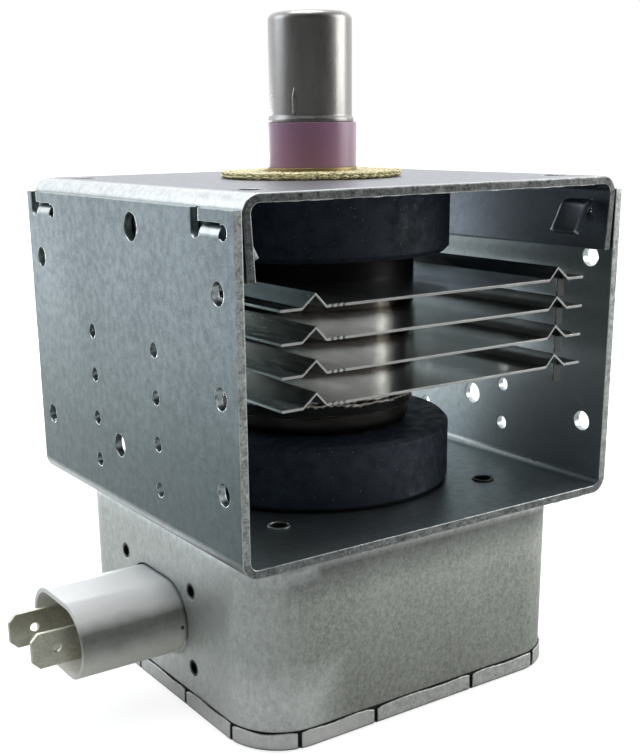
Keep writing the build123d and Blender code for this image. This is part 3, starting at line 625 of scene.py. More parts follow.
class MAGNETRON_OT_yoke(bpy.types.Operator):
    """Finish the yoke box in galvanised sheet, with burrs on its sheared edges"""

    bl_idname = "magnetron.yoke"
    bl_label = "Yoke Box"

    def execute(self, context):
        own = settings("yoke")
        low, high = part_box("lower_yoke")
        cut = high.y - 0.06 * MM
        foot_bend = -55.6 * MM
        # Painted shade and light: the mounting plate's cut faces are painted dark and the lower yoke's cut
        # faces pale, shaded and lit copies of one bare edge
        sheared = zone((0.22, 0.23, 0.235), 0.1 * MM, y=(-cut, cut), outside=1.0, darkest=0.0)
        lit_sheared = zone((0.62, 0.65, 0.65), 0.1 * MM, y=(-cut, cut), outside=1.0, darkest=0.10)
        # Painted shade: the bottom plate's front and back cut faces are painted dark grey
        shaded_foot_edges = [
            zone((0.34, 0.36, 0.365), 0.1 * MM, y=beyond, z=(-FAR, foot_bend), darkest=0.05)
            for beyond in ((-FAR, -cut), (cut, FAR))
        ]
        plate = zone(own.plate, 0.1 * MM, z=(-0.15 * MM, FAR))
        # Painted shade: the walls darken softly towards the bottom, where less light reaches them
        foot = zone((0.142, 0.180, 0.189), 26 * MM, z=(-FAR, -32 * MM))
        # Painted light: lighter inner faces of the walls and the bottom plate
        walls = zone(own.inner, 0.3 * MM, x=(low.x + 0.5 * MM, high.x - 0.5 * MM), rougher=-0.04)
        flanges = zone(
            own.inner_flange, 0.4 * MM, x=(low.x + 2.2 * MM, high.x - 2.2 * MM), z=(-FAR, -1.6 * MM),
            rougher=-0.04,
        )
        # Painted highlight: the hooks get a lighter face and wider bright edges, standing in for highlights
        # on their rounded bends
        hook_highlights = zone(
            (0.24, 0.27, 0.31), 0.3 * MM, x=(low.x + 2.6 * MM, high.x - 2.6 * MM), z=(-11.5 * MM, -3.5 * MM),
            rougher=0.06, wider=0.5 * MM,
        )
        for name, zones in (
            ("lower_yoke", (walls, hook_highlights, lit_sheared, *shaded_foot_edges)),
            ("upper_yoke", (flanges, sheared)),
        ):
            sheet = finish(
                f"Galvanised Sheet {name}",
                own.zinc,
                own.bloom,
                roughness=own.roughness,
                uneven=0.05,
                clouds=620,
                flecks=2300,
                fleck_strength=0.45,
                edge=own.bright_edge,
                edge_radius=own.edge_radius,
                wear=0.85,
                grain=1500,
                waves=0.5,
                wave_scale=70,
                bump=0.14,
                broad=0.35,
                bend_highlight=0.66,
                crevice=0.6,
                under=(foot, plate),
                zones=zones,
            )
            dress(sheet, name)
        self.sheared_burrs(own.bright_edge)
        return {"FINISHED"}

    def sheared_burrs(self, tone):
        """Ragged burrs along the sheared edges of the mounting plate and of the bottom plate."""
        bright = finish(
            "Sheared Burrs", tone, darker(tone, 0.45), roughness=0.3, uneven=0.2, clouds=1300, crevice=0.0,
            bump=0.5,
        )
        low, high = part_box("lower_yoke")
        sheet = 1.4 * MM
        steps = 260
        plates = ((0, -sheet, high.x - 7 * MM, 0.22), (5, low.z, high.x - 4 * MM, 0.30))
        shape = bmesh.new()
        for side in (-1, 1):
            for first_seed, level, half, tall in plates:
                rings = []
                for step in range(steps + 1):
                    along = -half + 2 * half * step / steps
                    drop = self.ragged_drop(along / MM, first_seed + side, tall)
                    section = ((0.02, -0.06 * MM), (0.03, 0.3 * drop), (0.16, drop), (0.42, -0.02 * MM))
                    rings.append(
                        [
                            Vector((along, side * (high.y - inwards * MM), level - down))
                            for inwards, down in section
                        ]
                    )
                loft(shape, rings)
        finished("sheared_burrs", mesh_from("sheared_burrs", shape), bright, smooth=30)

    def ragged_drop(self, walk, seed, tall):
        """How far a burr hangs below its edge, at a place given in millimetres along the edge."""
        ragged = math.sin(0.9 * walk + seed) * math.sin(0.37 * walk + 2 * seed) + 0.4 * math.sin(2.1 * walk)
        ragged += 0.4 * math.sin(9.7 * walk + seed) * math.sin(0.61 * walk)
        return (0.05 + tall * max(0.0, 0.35 * ragged + 0.25)) * MM


class MAGNETRON_OT_magnets(bpy.types.Operator):
    """Finish the ring magnets and the chokes' cores in sintered ferrite"""

    bl_idname = "magnetron.magnets"
    bl_label = "Ring Magnets"

    def execute(self, context):
        own = settings("magnets")
        ferrite = finish(
            "Sintered Ferrite",
            own.dust,
            own.ferrite,
            metallic=0.0,
            roughness=own.roughness,
            uneven=0.2,
            clouds=420,
            flecks=2300,
            fleck_strength=0.6,
            edge=(0.045, 0.056, 0.072),
            edge_radius=0.5 * MM,
            wear=0.5,
            specular_ior_level=0.35,
            specks={"Speck Color": (0.12, 0.15, 0.20, 1), "Scale": 1500, "Size": 0.26, "Amount": 0.07},
            grain=1400,
            waves=1.0,
            wave_scale=240,
            bump=0.5,
            bump_height=0.06 * MM,
        )
        dress(ferrite, "top_magnet", "bottom_magnet", "choke_core_front", "choke_core_rear")
        return {"FINISHED"}


class MAGNETRON_OT_tube(bpy.types.Operator):
    """Finish the anode tube and its antenna, and add its braze ring, its burrs and the cap's seam ridge"""

    bl_idname = "magnetron.tube"
    bl_label = "Tube and Antenna"

    def execute(self, context):
        own = settings("tube")
        steel_shade = (0.33, 0.32, 0.31)
        round_grain = {"stretch": (1, 1, 14), "grain": 500, "waves": 0.2}
        # Heat tint and painted shade: the anode is near black above the top fin, in the shaded gap under the
        # magnet, and below the lowest fin
        scorched_and_shaded = zone(
            own.scorch_and_shade, 1.0 * MM, z=(-37.2 * MM, -17.4 * MM), outside=1.0, dull=0.95, rougher=0.28
        )
        plated = finish(
            "Plated Anode", own.anode, (0.078, 0.068, 0.060), roughness=0.17, uneven=0.08, clouds=120,
            edge=(0.5, 0.45, 0.42), wear=0.4, zones=(scorched_and_shaded,), bump=0.1, specular_ior_level=0.15,
            **round_grain,
        )
        steel = finish(
            "Seal Steel", own.steel, steel_shade, roughness=0.3, uneven=0.12, edge=(0.8, 0.8, 0.8),
            **round_grain,
        )
        gilt = zone((0.42, 0.33, 0.17), 0.3 * MM, z=(0.6 * MM, FAR), rougher=0.1)
        collar = finish(
            "Gilt Collar", own.steel, steel_shade, roughness=0.3, uneven=0.12, crevice=0.3, zones=(gilt,),
            **round_grain,
        )
        browned = finish(
            "Browned Cup", own.browned, (0.012, 0.011, 0.011), metallic=0.5, roughness=0.42, uneven=0.2,
            clouds=160, flecks=1100, edge=(0.22, 0.15, 0.11), wear=0.6, **round_grain,
        )
        copper = finish("Bare Copper", own.copper, (0.42, 0.20, 0.13), roughness=0.3, edge=(0.8, 0.5, 0.36))
        cathode = finish("Cathode Metal", (0.34, 0.34, 0.35), (0.20, 0.20, 0.21), roughness=0.4)
        ceramic = finish(
            "Antenna Ceramic", own.ceramic, (0.37, 0.185, 0.32), metallic=0.0, roughness=0.33, uneven=0.06,
            clouds=60, fleck_strength=0.15, edge=(0.62, 0.42, 0.56), wear=0.5, grain=900, bump=0.08,
            coat_weight=0.9, coat_roughness=0.3, subsurface_weight=0.12, subsurface_scale=0.002,
        )
        stem = finish("Stem Ceramic", own.stem, (0.68, 0.64, 0.57), metallic=0.0, roughness=0.5, bump=0.12)
        cap_steel = finish(
            "Drawn Cap", own.cap, (0.295, 0.287, 0.283), roughness=0.27, uneven=0.08, stretch=(1, 1, 0.2),
            clouds=260, flecks=2000, fleck_strength=0.5, edge=(0.85, 0.84, 0.82), edge_radius=0.4 * MM,
            wear=0.8, grain=1800, bump=0.16,
        )
        dress(plated, "anode_cylinder")
        dress(collar, "output_shell")
        dress(steel, "upper_pole_piece", "lower_pole_piece")
        dress(steel, *[name for name in NODES if name.endswith("_strap")])
        dress(browned, "input_shell")
        dress(copper, "exhaust_tube", "antenna_lead")
        dress(copper, *[name for name in NODES if name.startswith("anode_vane")])
        dress(cathode, "filament", "upper_end_hat", "lower_end_hat", "centre_lead", "side_lead")
        dress(ceramic, "antenna_ceramic")
        dress(stem, "input_stem")
        dress(cap_steel, "antenna_cap")
        self.braze_ring()
        self.burred_rings()
        self.seam_ridge(cap_steel, own.seam_height)
        return {"FINISHED"}

    def braze_ring(self):
        """Fillet of braze where the input shell meets the anode."""
        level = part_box("anode_cylinder")[0].z
        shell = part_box("input_shell")[1].x
        braze = finish(
            "Braze", (0.10, 0.075, 0.06), (0.02, 0.017, 0.016), roughness=0.4, uneven=0.2, clouds=300,
            flecks=1400, waves=1.5, bump=0.6,
        )
        self.uneven_ring("braze_lower", braze, shell, level, 0.55 * MM, 0.5 * MM, 128)

    def burred_rings(self):
        """Burrs of bright metal scraped up round the anode when the lowest fin was pressed on."""
        burr = finish(
            "Bright Burrs", (0.80, 0.75, 0.68), (0.20, 0.17, 0.15), metallic=0.5, roughness=0.34, uneven=0.2,
            clouds=1500, flecks=3000, crevice=0.2, waves=1.5, bump=0.8,
        )
        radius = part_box("anode_cylinder")[1].x
        levels = (-37.7 * MM, -38.3 * MM, -38.9 * MM)
        for number, level in enumerate(levels):
            self.uneven_ring(f"anode_burrs_{number}", burr, radius, level, 0.6 * MM, 0.7 * MM, 360, number)

    def uneven_ring(self, name, material, radius, level, reach, drop, steps, seed=0):
        """Ring of uneven section round the tube, under a level."""
        sunk = -0.05 * MM
        shape = bmesh.new()
        rings = []
        for step in range(steps):
            angle = 2 * math.pi * step / steps
            swell = 0.75 + 0.3 * math.sin(5 * angle + 2 * seed) * math.sin(11 * angle + seed)
            fine = 0.22 * math.sin(37 * angle + seed) * math.sin(53 * angle)
            swell += fine + 0.15 * math.sin(steps / 4.3 * angle + seed)
            swell = min(max(swell, 0.12), 1.25)
            crossing = math.sin(31 * angle + 4 * seed) * math.sin(17 * angle)
            wander = 0.2 * drop * (math.sin(3 * angle + seed) + crossing)
            section = (
                (sunk, 0),
                (0.8 * reach * swell, 0),
                (reach * swell, -0.5 * drop * swell),
                (sunk, -drop * swell),
            )
            rings.append(
                [outward(angle) * (radius + x) + Vector((0, 0, level + wander + z)) for x, z in section]
            )
        loft(shape, rings, looped=True)
        finished(name, mesh_from(name, shape), material, smooth=25)

    def seam_ridge(self, steel, height):
        """Short upright ridge pressed into the foot of the cap."""
        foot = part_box("antenna_cap")[0].z + 1.3 * MM
        radius = 7.48 * MM
        bearing = math.radians(57.3)
        middle = Vector((-math.sin(bearing), -math.cos(bearing), 0))
        across = Vector((middle.y, -middle.x, 0))
        half_width, depth = 0.42 * MM, 0.24 * MM
        steps = 12
        shape = bmesh.new()
        rings = []
        for step in range(steps + 1):
            share = step / steps
            taper = min(1.0, 3.2 * (1 - share), 6 * share + 0.4)
            centre = middle * radius + Vector((0, 0, foot + share * height))
            rings.append(
                [
                    centre + across * (half_width * taper * x) + middle * (depth * taper * max(y, -0.4))
                    for x, y in circle_points(10)
                ]
            )
        loft(shape, rings)
        finished("cap_seam_ridge", mesh_from("cap_seam_ridge", shape), steel)


def build_knitted_band():
    """Geometry nodes that knit rounds of looped wire into a flat ring."""
    per_stitch = 12
    tree, given, result = new_group(
        "Knitted Band",
        {
            "Stitches": ("Int", 60),
            "Rounds": ("Int", 6),
            "Inner Radius": ("Float", 0.01),
            "Round Step": ("Float", 0.001),
            "Height": ("Float", 0.0006),
            "Swell": ("Float", 0.0002),
            "Wire Radius": ("Float", 0.0001),
            "Unevenness": ("Float", 0.0001),
            "Seed": ("Int", 3),
            "Wire": ("Material", None),
        },
        {"Geometry": "Geometry"},
        kind="GeometryNodeTree",
    )
    points = maths(tree, "MULTIPLY", given["Stitches"], per_stitch)
    circle = wire_up(tree, "GeometryNodeCurvePrimitiveCircle", {"Resolution": points, "Radius": 1.0})
    copies = wire_up(
        tree,
        "GeometryNodeDuplicateElements",
        {"Geometry": circle.outputs["Curve"], "Amount": given["Rounds"]},
        domain="SPLINE",
    )
    index = wire_up(tree, "GeometryNodeInputIndex").outputs[0]
    along = maths(tree, "FLOORED_MODULO", index, points)
    whole_turn = 2 * math.pi
    turn = maths(tree, "DIVIDE", maths(tree, "MULTIPLY", along, whole_turn), per_stitch)
    twice = maths(tree, "MULTIPLY", turn, 2.0)
    number = copies.outputs["Duplicate Index"]
    phase = maths(tree, "MULTIPLY", number, 0.5)
    sway = maths(tree, "MULTIPLY", maths(tree, "SINE", twice), 0.30)
    stitch = maths(tree, "ADD", maths(tree, "ADD", maths(tree, "DIVIDE", along, per_stitch), sway), phase)
    angle = maths(tree, "DIVIDE", maths(tree, "MULTIPLY", stitch, whole_turn), given["Stitches"])
    loop_reach = maths(tree, "MULTIPLY", given["Round Step"], 0.85)
    loop = maths(tree, "MULTIPLY", maths(tree, "COSINE", turn), loop_reach)
    radius = maths(tree, "MULTIPLY_ADD", number, given["Round Step"], given["Inner Radius"])
    radius = maths(tree, "ADD", radius, loop)
    rise = maths(tree, "MULTIPLY", maths(tree, "COSINE", twice), given["Swell"])
    placed = {
        0: maths(tree, "MULTIPLY", maths(tree, "COSINE", angle), radius),
        1: maths(tree, "MULTIPLY", maths(tree, "SINE", angle), radius),
        2: maths(tree, "ADD", rise, given["Height"]),
    }
    place = wire_up(tree, "ShaderNodeCombineXYZ", placed).outputs[0]
    negative = maths(tree, "MULTIPLY", given["Unevenness"], -1.0)
    lower, upper = (
        wire_up(tree, "ShaderNodeCombineXYZ", dict.fromkeys(range(3), limit)).outputs[0]
        for limit in (negative, given["Unevenness"])
    )
    third = maths(tree, "FLOOR", maths(tree, "DIVIDE", index, 3.0))
    chance = wire_up(
        tree,
        "FunctionNodeRandomValue",
        {0: lower, 1: upper, "ID": third, "Seed": given["Seed"]},
        data_type="FLOAT_VECTOR",
    ).outputs[0]
    moved = wire_up(
        tree,
        "GeometryNodeSetPosition",
        {"Geometry": copies.outputs["Geometry"], "Position": place, "Offset": chance},
    )
    round_wire = {"Resolution": 5, "Radius": given["Wire Radius"]}
    section = wire_up(tree, "GeometryNodeCurvePrimitiveCircle", round_wire).outputs["Curve"]
    swept = {"Curve": moved.outputs[0], "Profile Curve": section}
    wires = wire_up(tree, "GeometryNodeCurveToMesh", swept).outputs[0]
    real = wire_up(tree, "GeometryNodeRealizeInstances", {"Geometry": wires}).outputs[0]
    painted = wire_up(tree, "GeometryNodeSetMaterial", {"Geometry": real, "Material": given["Wire"]})
    give(tree, result, Geometry=painted.outputs[0])
    return tree


def grown(name, tree, values):
    """Plain mesh that a geometry node tree makes with these input values."""
    seed = bpy.data.objects.new(name, bpy.data.meshes.new(name))
    bpy.context.scene.collection.objects.link(seed)
    modifier = seed.modifiers.new(name, "NODES")
    modifier.node_group = tree
    for socket in tree.interface.items_tree:
        if socket.in_out == "INPUT" and socket.name in values:
            modifier[socket.identifier] = values[socket.name]
    evaluated = seed.evaluated_get(bpy.context.evaluated_depsgraph_get())
    mesh = bpy.data.meshes.new_from_object(evaluated)
    bpy.data.objects.remove(seed)
    return mesh


class MAGNETRON_OT_gasket(bpy.types.Operator):
    """Knit the wire gasket round the antenna's foot"""

    bl_idname = "magnetron.gasket"
    bl_label = "Wire Gasket"

    def execute(self, context):
        own = settings("gasket")
        wire = finish(
            "Gasket Wire", own.wire, own.tarnish, metallic=0.2, crevice=0.15, roughness=0.3, uneven=0.12,
            clouds=700, flecks=2600, fleck_strength=0.6, grain=2500, bump=0.1,
        )
        low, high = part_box("rf_gasket")
        inner_radius = 8.9 * MM
        round_step = (high.x - inner_radius) / (own.rounds + 0.9)
        tree = build_knitted_band()
        shape = bmesh.new()
        for layer, share in enumerate((0.30, 0.70)):
            values = {
                "Stitches": own.stitches,
                "Rounds": own.rounds,
                "Inner Radius": inner_radius + 0.95 * round_step,
                "Round Step": round_step,
                "Height": low.z + share * (high.z - low.z),
                "Swell": 0.2 * MM,
                "Wire Radius": own.wire_radius,
                "Unevenness": 0.11 * MM,
                "Seed": 3 + layer,
                "Wire": wire,
            }
            shape.from_mesh(grown(f"gasket_layer_{layer}", tree, values))
        for vertex in shape.verts:
            vertex.co.z = min(max(vertex.co.z, low.z), high.z)
        mesh = bpy.data.meshes.new("gasket_knit")
        shape.to_mesh(mesh)
        shape.free()
        piece = finished("gasket_knit", mesh, wire, smooth=180)
        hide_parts("rf_gasket")
        return {"FINISHED"}


class MAGNETRON_OT_fins(bpy.types.Operator):
    """Finish the cooling fins in bright rolled aluminium"""

    bl_idname = "magnetron.fins"
    bl_label = "Cooling Fins"

    def execute(self, context):
        own = settings("fins")
        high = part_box("cooling_fin_1")[1]
        cut = high.y - 0.05 * MM
        spacer_face = high.y - 0.99 * MM
        spacer_x = (26.65 * MM, 28.35 * MM)
        spacer_y = (spacer_face - 0.06 * MM, spacer_face + 0.06 * MM)
        wing_x = 25.5 * MM
        # Painted shade: the fins' cut faces are painted mid grey, far darker than the rolled faces, for the
        # shade on the thin edges
        sheared = zone((0.50, 0.50, 0.50), 0.1 * MM, y=(-cut, cut), outside=1.0)
        # Painted shade: thin dark strips at the lanced spacers, where they are in shade
        spacers = [
            zone(
                (0.10, 0.105, 0.10),
                0.03 * MM,
                x=sorted(side * x for x in spacer_x),
                y=sorted(-side * y for y in spacer_y),
            )
            for side in (-1, 1)
        ]
        # Painted shade: the wings between the ridges and the walls are painted darker grey, where they lie in
        # shade between the fins
        wings = zone((0.33, 0.36, 0.345), 3.0 * MM, x=(-wing_x, wing_x), outside=1.0, rougher=0.05)
        rolled = finish(
            "Rolled Aluminium", own.aluminium, own.shade, roughness=own.roughness, uneven=0.06,
            stretch=(1, 0.10, 1), clouds=240, flecks=1600, fleck_strength=0.5, edge=(0.80, 0.80, 0.79),
            edge_radius=0.08 * MM, wear=0.6, grain=1500, waves=0.6, wave_scale=50, bump=0.10,
            zones=(wings, sheared, *spacers),
        )
        dress(rolled, *[name for name in NODES if name.startswith("cooling_fin")])
        return {"FINISHED"}


def rounded_path(half_x, half_y, corner, spacing):
    """Points round a rounded rectangle, as (distance, place, outward direction), and its whole length."""
    made = []
    walked = 0.0
    straight_x, straight_y = half_x - corner, half_y - corner
    sides = (
        (Vector((0, -half_y)), Vector((1, 0)), straight_x, Vector((0, -1))),
        (Vector((half_x, 0)), Vector((0, 1)), straight_y, Vector((1, 0))),
        (Vector((0, half_y)), Vector((-1, 0)), straight_x, Vector((0, 1))),
        (Vector((-half_x, 0)), Vector((0, -1)), straight_y, Vector((-1, 0))),
    )
    for middle, along, half, outwards in sides:
        steps = max(2, round(2 * half / spacing))
        for step in range(steps):
            offset = -half + 2 * half * step / steps
            made.append((walked + offset + half, middle + along * offset, outwards))
        walked += 2 * half
        centre = middle + along * half - outwards * corner
        steps = max(4, round(corner * math.pi / 2 / spacing))
        for step in range(steps):
            angle = math.pi / 2 * step / steps
            out = outwards * math.cos(angle) + along * math.sin(angle)
            made.append((walked + corner * angle, centre + out * corner, out))
        walked += corner * math.pi / 2
    return made, walked


class MAGNETRON_OT_filter(bpy.types.Operator):
    """Finish the filter can and its earth plate, and crimp its lid"""

    bl_idname = "magnetron.filter"
    bl_label = "Filter Can"

    def execute(self, context):
        own = settings("filter")
        sheet_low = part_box("lower_yoke")[0].z
        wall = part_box("filter_can")[0].x
        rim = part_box("filter_lid")[1].z
        # Painted shade: black, duller and rougher inside the eyelet bores and the earth plate's rivet holes,
        # where only shade shows
        painted_hole_shade = (0.01, 0.01, 0.01)
        hole = {"dull": 0.8, "rougher": 0.3}
        bores = zone(painted_hole_shade, 0.1 * MM, z=(sheet_low + 0.05 * MM, sheet_low + 1.45 * MM), **hole)
        rivets = zone(painted_hole_shade, 0.1 * MM, x=(wall - 0.12 * MM, FAR), **hole)
        # Painted shade: the can is near black below the lid's rim, for the shaded gap between the skirt and
        # the can
        crimp_gap_shade = zone((0.015, 0.015, 0.015), 0.12 * MM, z=(-FAR, rim + 0.10 * MM), **hole)
        # Painted light: the can's left side is painted lighter, palest towards the floor, where bounced light
        # falls
        flank = zone((0.60, 0.635, 0.62), 6 * MM, x=(-FAR, wall + 8 * MM))
        flank_foot = zone((0.90, 0.93, 0.92), 8 * MM, x=(-FAR, wall + 14 * MM), z=(-FAR, rim + 9 * MM))
        shade_line = zone((0.13, 0.14, 0.142), 8 * MM, x=(wall + 9 * MM, FAR), z=(sheet_low - 5 * MM, FAR))
        # Painted highlight: a lighter band on the can's shoulder just under the box
        shoulder_highlight = zone((0.72, 0.76, 0.78), 4 * MM, x=(-FAR, wall + 11 * MM), z=(sheet_low - 3.4 * MM, FAR))
        # Painted light: the lid's left side is painted lighter
        lid_flank = zone((1.0, 1.0, 1.0), 14 * MM, x=(-FAR, wall + 22 * MM), darkest=0.8)
        can = finish(
            "Drawn Can", own.can, own.can_shade, metallic=0.8, roughness=0.44, uneven=0.10,
            stretch=(1, 1, 0.7), clouds=1100, flecks=2900, fleck_strength=0.6, edge=(0.8, 0.81, 0.80),
            wear=0.5, grain=2200, waves=0.6, wave_scale=60, bump=0.2, broad=0.4, bend_highlight=0.55,
            under=(flank, flank_foot, shade_line), zones=(shoulder_highlight, crimp_gap_shade, bores),
        )
        lid = finish(
            "Tinned Lid", own.lid, (0.48, 0.50, 0.49), metallic=0.8, roughness=0.38, uneven=0.16, clouds=760,
            flecks=2600, fleck_strength=0.55, edge=(0.75, 0.75, 0.76), wear=0.6, waves=1.0, wave_scale=120,
            specks={"Speck Color": (0.20, 0.20, 0.20, 1), "Scale": 1900, "Size": 0.34, "Amount": 0.10},
            bump=0.5, zones=(lid_flank,),
        )
        earth = finish(
            "Earth Plate", own.lid, (0.52, 0.54, 0.53), roughness=0.36, edge=(0.9, 0.9, 0.9), zones=(rivets,)
        )
        dress(can, "filter_can")
        dress(earth, "earth_plate")
        self.crimped_lid(lid, own.gap, own.dent_depth)
        return {"FINISHED"}

    def crimped_lid(self, material, gap, dent_depth):
        """Flat tray whose skirt is slit into flaps, each pressed against the can with small dents."""
        low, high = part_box("filter_lid")
        thickness = 0.3 * MM
        edge = 0.7 * MM
        corner = 10.95 * MM
        path, whole = rounded_path(high.x, high.y, corner, 0.7 * MM)
        bounds = sorted(self.slit_places(path))
        levels = low.z, high.z
        shape = bmesh.new()
        for number, start in enumerate(bounds):
            stop = bounds[(number + 1) % len(bounds)]
            if stop < start:
                stop += whole
            start, stop = start + gap / 2, stop - gap / 2
            self.flap(shape, path, whole, start, stop, number, levels, thickness, edge, dent_depth)
        inner = [(place - out * edge) for _, place, out in path]
        rings = [
            [Vector((point.x, point.y, level)) for point in inner] for level in (low.z, low.z + thickness)
        ]
        loft(shape, rings)
        piece = finished("crimped_lid", mesh_from("crimped_lid", shape), material, smooth=50)
        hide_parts("filter_lid")

    def slit_places(self, path):
        """Distances along the lid's edge at which its skirt is slit."""
        found = []
        for axis, offset in ((0, 11.0 * MM), (0, 27.2 * MM), (1, 9.1 * MM), (1, 25.2 * MM)):
            for middle in (-offset, offset):
                for side in (-1, 1):
                    flat = [
                        (abs(place[axis] - middle), distance)
                        for distance, place, out in path
                        if abs(out[1 - axis] - side) < 0.3
                    ]
                    found.append(min(flat)[1])
        return found

    def flap(self, shape, path, whole, start, stop, number, levels, thickness, edge, dent_depth):
        """One flap of the skirt, as a closed strip between two slits."""
        floor, rim = levels
        columns = [entry for entry in path if start < entry[0] < stop]
        columns += [(along + whole, place, out) for along, place, out in path if start < along + whole < stop]
        columns = [self.on_path(path, whole, start), *columns, self.on_path(path, whole, stop)]
        centre = (start + stop) / 2
        corner_drop, corner_reach, dent_reach, bow = 0.35 * MM, 0.6 * MM, 0.9 * MM, 0.05 * MM
        lift = (0.05 + 0.16 * (0.5 + 0.5 * math.sin(2.3 * number))) * MM
        dents = [start + (stop - start) * share for share in (0.2, 0.5, 0.8)]
        rings = []
        for distance, place, out in columns:
            side = min(distance - start, stop - distance)
            rounded = corner_drop * math.exp(-side / corner_reach)
            height = rim - lift - rounded * (0.4 + 0.6 * math.cos(1.7 * number) ** 2)
            height -= 0.12 * MM * math.sin(9 * (distance - centre) / (stop - start) + number)
            dent = sum(math.exp(-(((distance - spot) / dent_reach) ** 2)) for spot in dents)
            skin = []
            for share in (0.0, 0.3, 0.55, 0.8, 1.0):
                up = floor + edge + share * (height - floor - edge)
                inset = dent_depth * dent * math.exp(-(((share - 0.5) / 0.28) ** 2))
                inset += bow * (1 - math.cos(3.1 * distance / MM + number)) * share
                skin.append((-inset, up))
            bend = [
                (-edge + edge * math.sin(angle), floor + edge - edge * math.cos(angle))
                for angle in (0.0, 0.4, 0.8, 1.2)
            ]
            inner = [(inwards - thickness, up) for inwards, up in reversed(skin)]
            section = (*bend, *skin, *inner, (-edge, floor + thickness))
            rings.append(
                [Vector((place.x + out.x * reach, place.y + out.y * reach, up)) for reach, up in section]
            )
        loft(shape, rings)

    def on_path(self, path, whole, distance):
        """Distance, place and outward direction of one more point along the lid's edge."""
        wrapped = distance % whole
        before = max((entry for entry in path if entry[0] <= wrapped), key=lambda entry: entry[0])
        position = path.index(before)
        after = path[(position + 1) % len(path)]
        span = (after[0] - before[0]) % whole
        share = (wrapped - before[0]) / span
        place = before[1].lerp(after[1], share)
        out = before[2].lerp(after[2], share).normalized()
        return distance, place, out


class MAGNETRON_OT_connector(bpy.types.Operator):
    """Finish the heater connector, its tabs and the chokes behind it, and add its lip and a dark pip"""

    bl_idname = "magnetron.connector"
    bl_label = "Heater Connector"

    def execute(self, context):
        own = settings("connector")
        low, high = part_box("connector_housing")
        wall = 1.9 * MM
        corner = 4.5 * MM
        # Painted shade: a darker band along the front of the housing
        band = zone(
            (0.30, 0.305, 0.285), 5 * MM, y=(-FAR, low.y + 3.5 * MM), z=(low.z + 6.5 * MM, high.z - 1.5 * MM)
        )
        # Painted light: a paler, warmer underside and a white top on the housing
        underside = zone((1.0, 0.98, 0.91), 4 * MM, z=(-FAR, low.z + 5.5 * MM), darkest=0.9)
        crown = zone((1.0, 1.0, 1.0), 2 * MM, z=(high.z - 2.8 * MM, FAR), darkest=0.95)
        socket = [
            zone(
                own.inside,
                0.8 * MM,
                x=(low.x + 0.8 * MM, high.x),
                y=(low.y + aside, high.y - aside),
                z=(low.z + inset, high.z - inset),
            )
            for aside, inset in ((wall, corner), (corner, wall))
        ]
        plastic = finish(
            "Moulded Housing", own.plastic, (0.76, 0.76, 0.745), metallic=0.0, roughness=0.46, uneven=0.05,
            clouds=160, fleck_strength=0.3, broad=0.0, edge=(0.92, 0.92, 0.90), wear=0.4, grain=900,
            bump=0.10, zones=(band, underside, crown, *socket), coat_weight=0.15, coat_roughness=0.4,
            subsurface_weight=0.05, subsurface_scale=0.001, subsurface_radius=(1.0, 0.95, 0.90),
        )
        resin = finish(
            "Potting Resin", own.resin, (0.50, 0.46, 0.36), metallic=0.0, roughness=0.45, clouds=200,
            waves=1.5, wave_scale=160, bump=0.5,
        )
        tab = finish(
            "Dull Tab", own.tab, (0.40, 0.395, 0.33), roughness=0.36, uneven=0.16, clouds=340, flecks=2200,
            fleck_strength=0.55, edge=(0.72, 0.72, 0.68), edge_radius=0.2 * MM, wear=0.9, grain=2400,
            bump=0.4,
        )
        winding = finish(
            "Enamelled Wire", (0.45, 0.20, 0.09), (0.32, 0.13, 0.05), roughness=0.25, coat_weight=0.6
        )
        dress(plastic, "connector_housing")
        dress(resin, "capacitor_block")
        dress(tab, "terminal_front", "terminal_rear")
        dress(winding, "choke_coil_front", "choke_coil_rear")
        # Painted highlight: the lip's plastic is paler than the housing's, standing in for the highlight on
        # its rim
        lip = finish(
            "Moulded Lip", (0.92, 0.92, 0.90), (0.86, 0.86, 0.84), metallic=0.0, roughness=0.3, crevice=0.0,
            bump=0.1,
        )
        self.root_lip(lip)
        self.dark_pip()
        return {"FINISHED"}

    def dark_pip(self):
        """Small dark pip beside the housing's root."""
        dark = finish("Dark Pip", (0.10, 0.095, 0.09), (0.04, 0.04, 0.04), metallic=0.0, roughness=0.5)
        low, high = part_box("connector_housing")
        centre = Vector((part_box("filter_can")[0].x - 0.9 * MM, low.y, (low.z + high.z) / 2))
        half_sizes = (0.34 * MM, 0.12 * MM, 0.38 * MM)
        shape = bmesh.new()
        bmesh.ops.create_icosphere(shape, subdivisions=2, radius=1.0)
        for vertex in shape.verts:
            vertex.co = centre + Vector([half * part for half, part in zip(half_sizes, vertex.co)])
        finished("dark_pip", mesh_from("dark_pip", shape), dark, smooth=180)

    def root_lip(self, plastic):
        """Crescent of the housing's rim that shows at its lower corner, against the can's wall."""
        low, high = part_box("connector_housing")
        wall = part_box("filter_can")[0].x
        radius = (high.z - low.z) / 2
        middle = Vector((wall, low.y + radius, (low.z + high.z) / 2))
        profile = ((0, 0), (-0.45, 0), (-0.35, 0.5), (0, 0.65))
        steps = 24
        shape = bmesh.new()
        rings = []
        for step in range(steps + 1):
            share = step / steps
            angle = math.radians(200 + 62 * share)
            taper = max(math.sin(math.pi * share) ** 0.5, 0.05)
            out = Vector((0, math.cos(angle), math.sin(angle)))
            base = middle + out * (radius - 0.1 * MM)
            section = [(along * MM * taper, away * MM * taper) for along, away in profile]
            rings.append([base + Vector((along, 0, 0)) + out * away for along, away in section])
        loft(shape, rings)
        mesh = mesh_from("connector_root_lip", shape)
        finished("connector_root_lip", mesh, plastic, smooth=60)


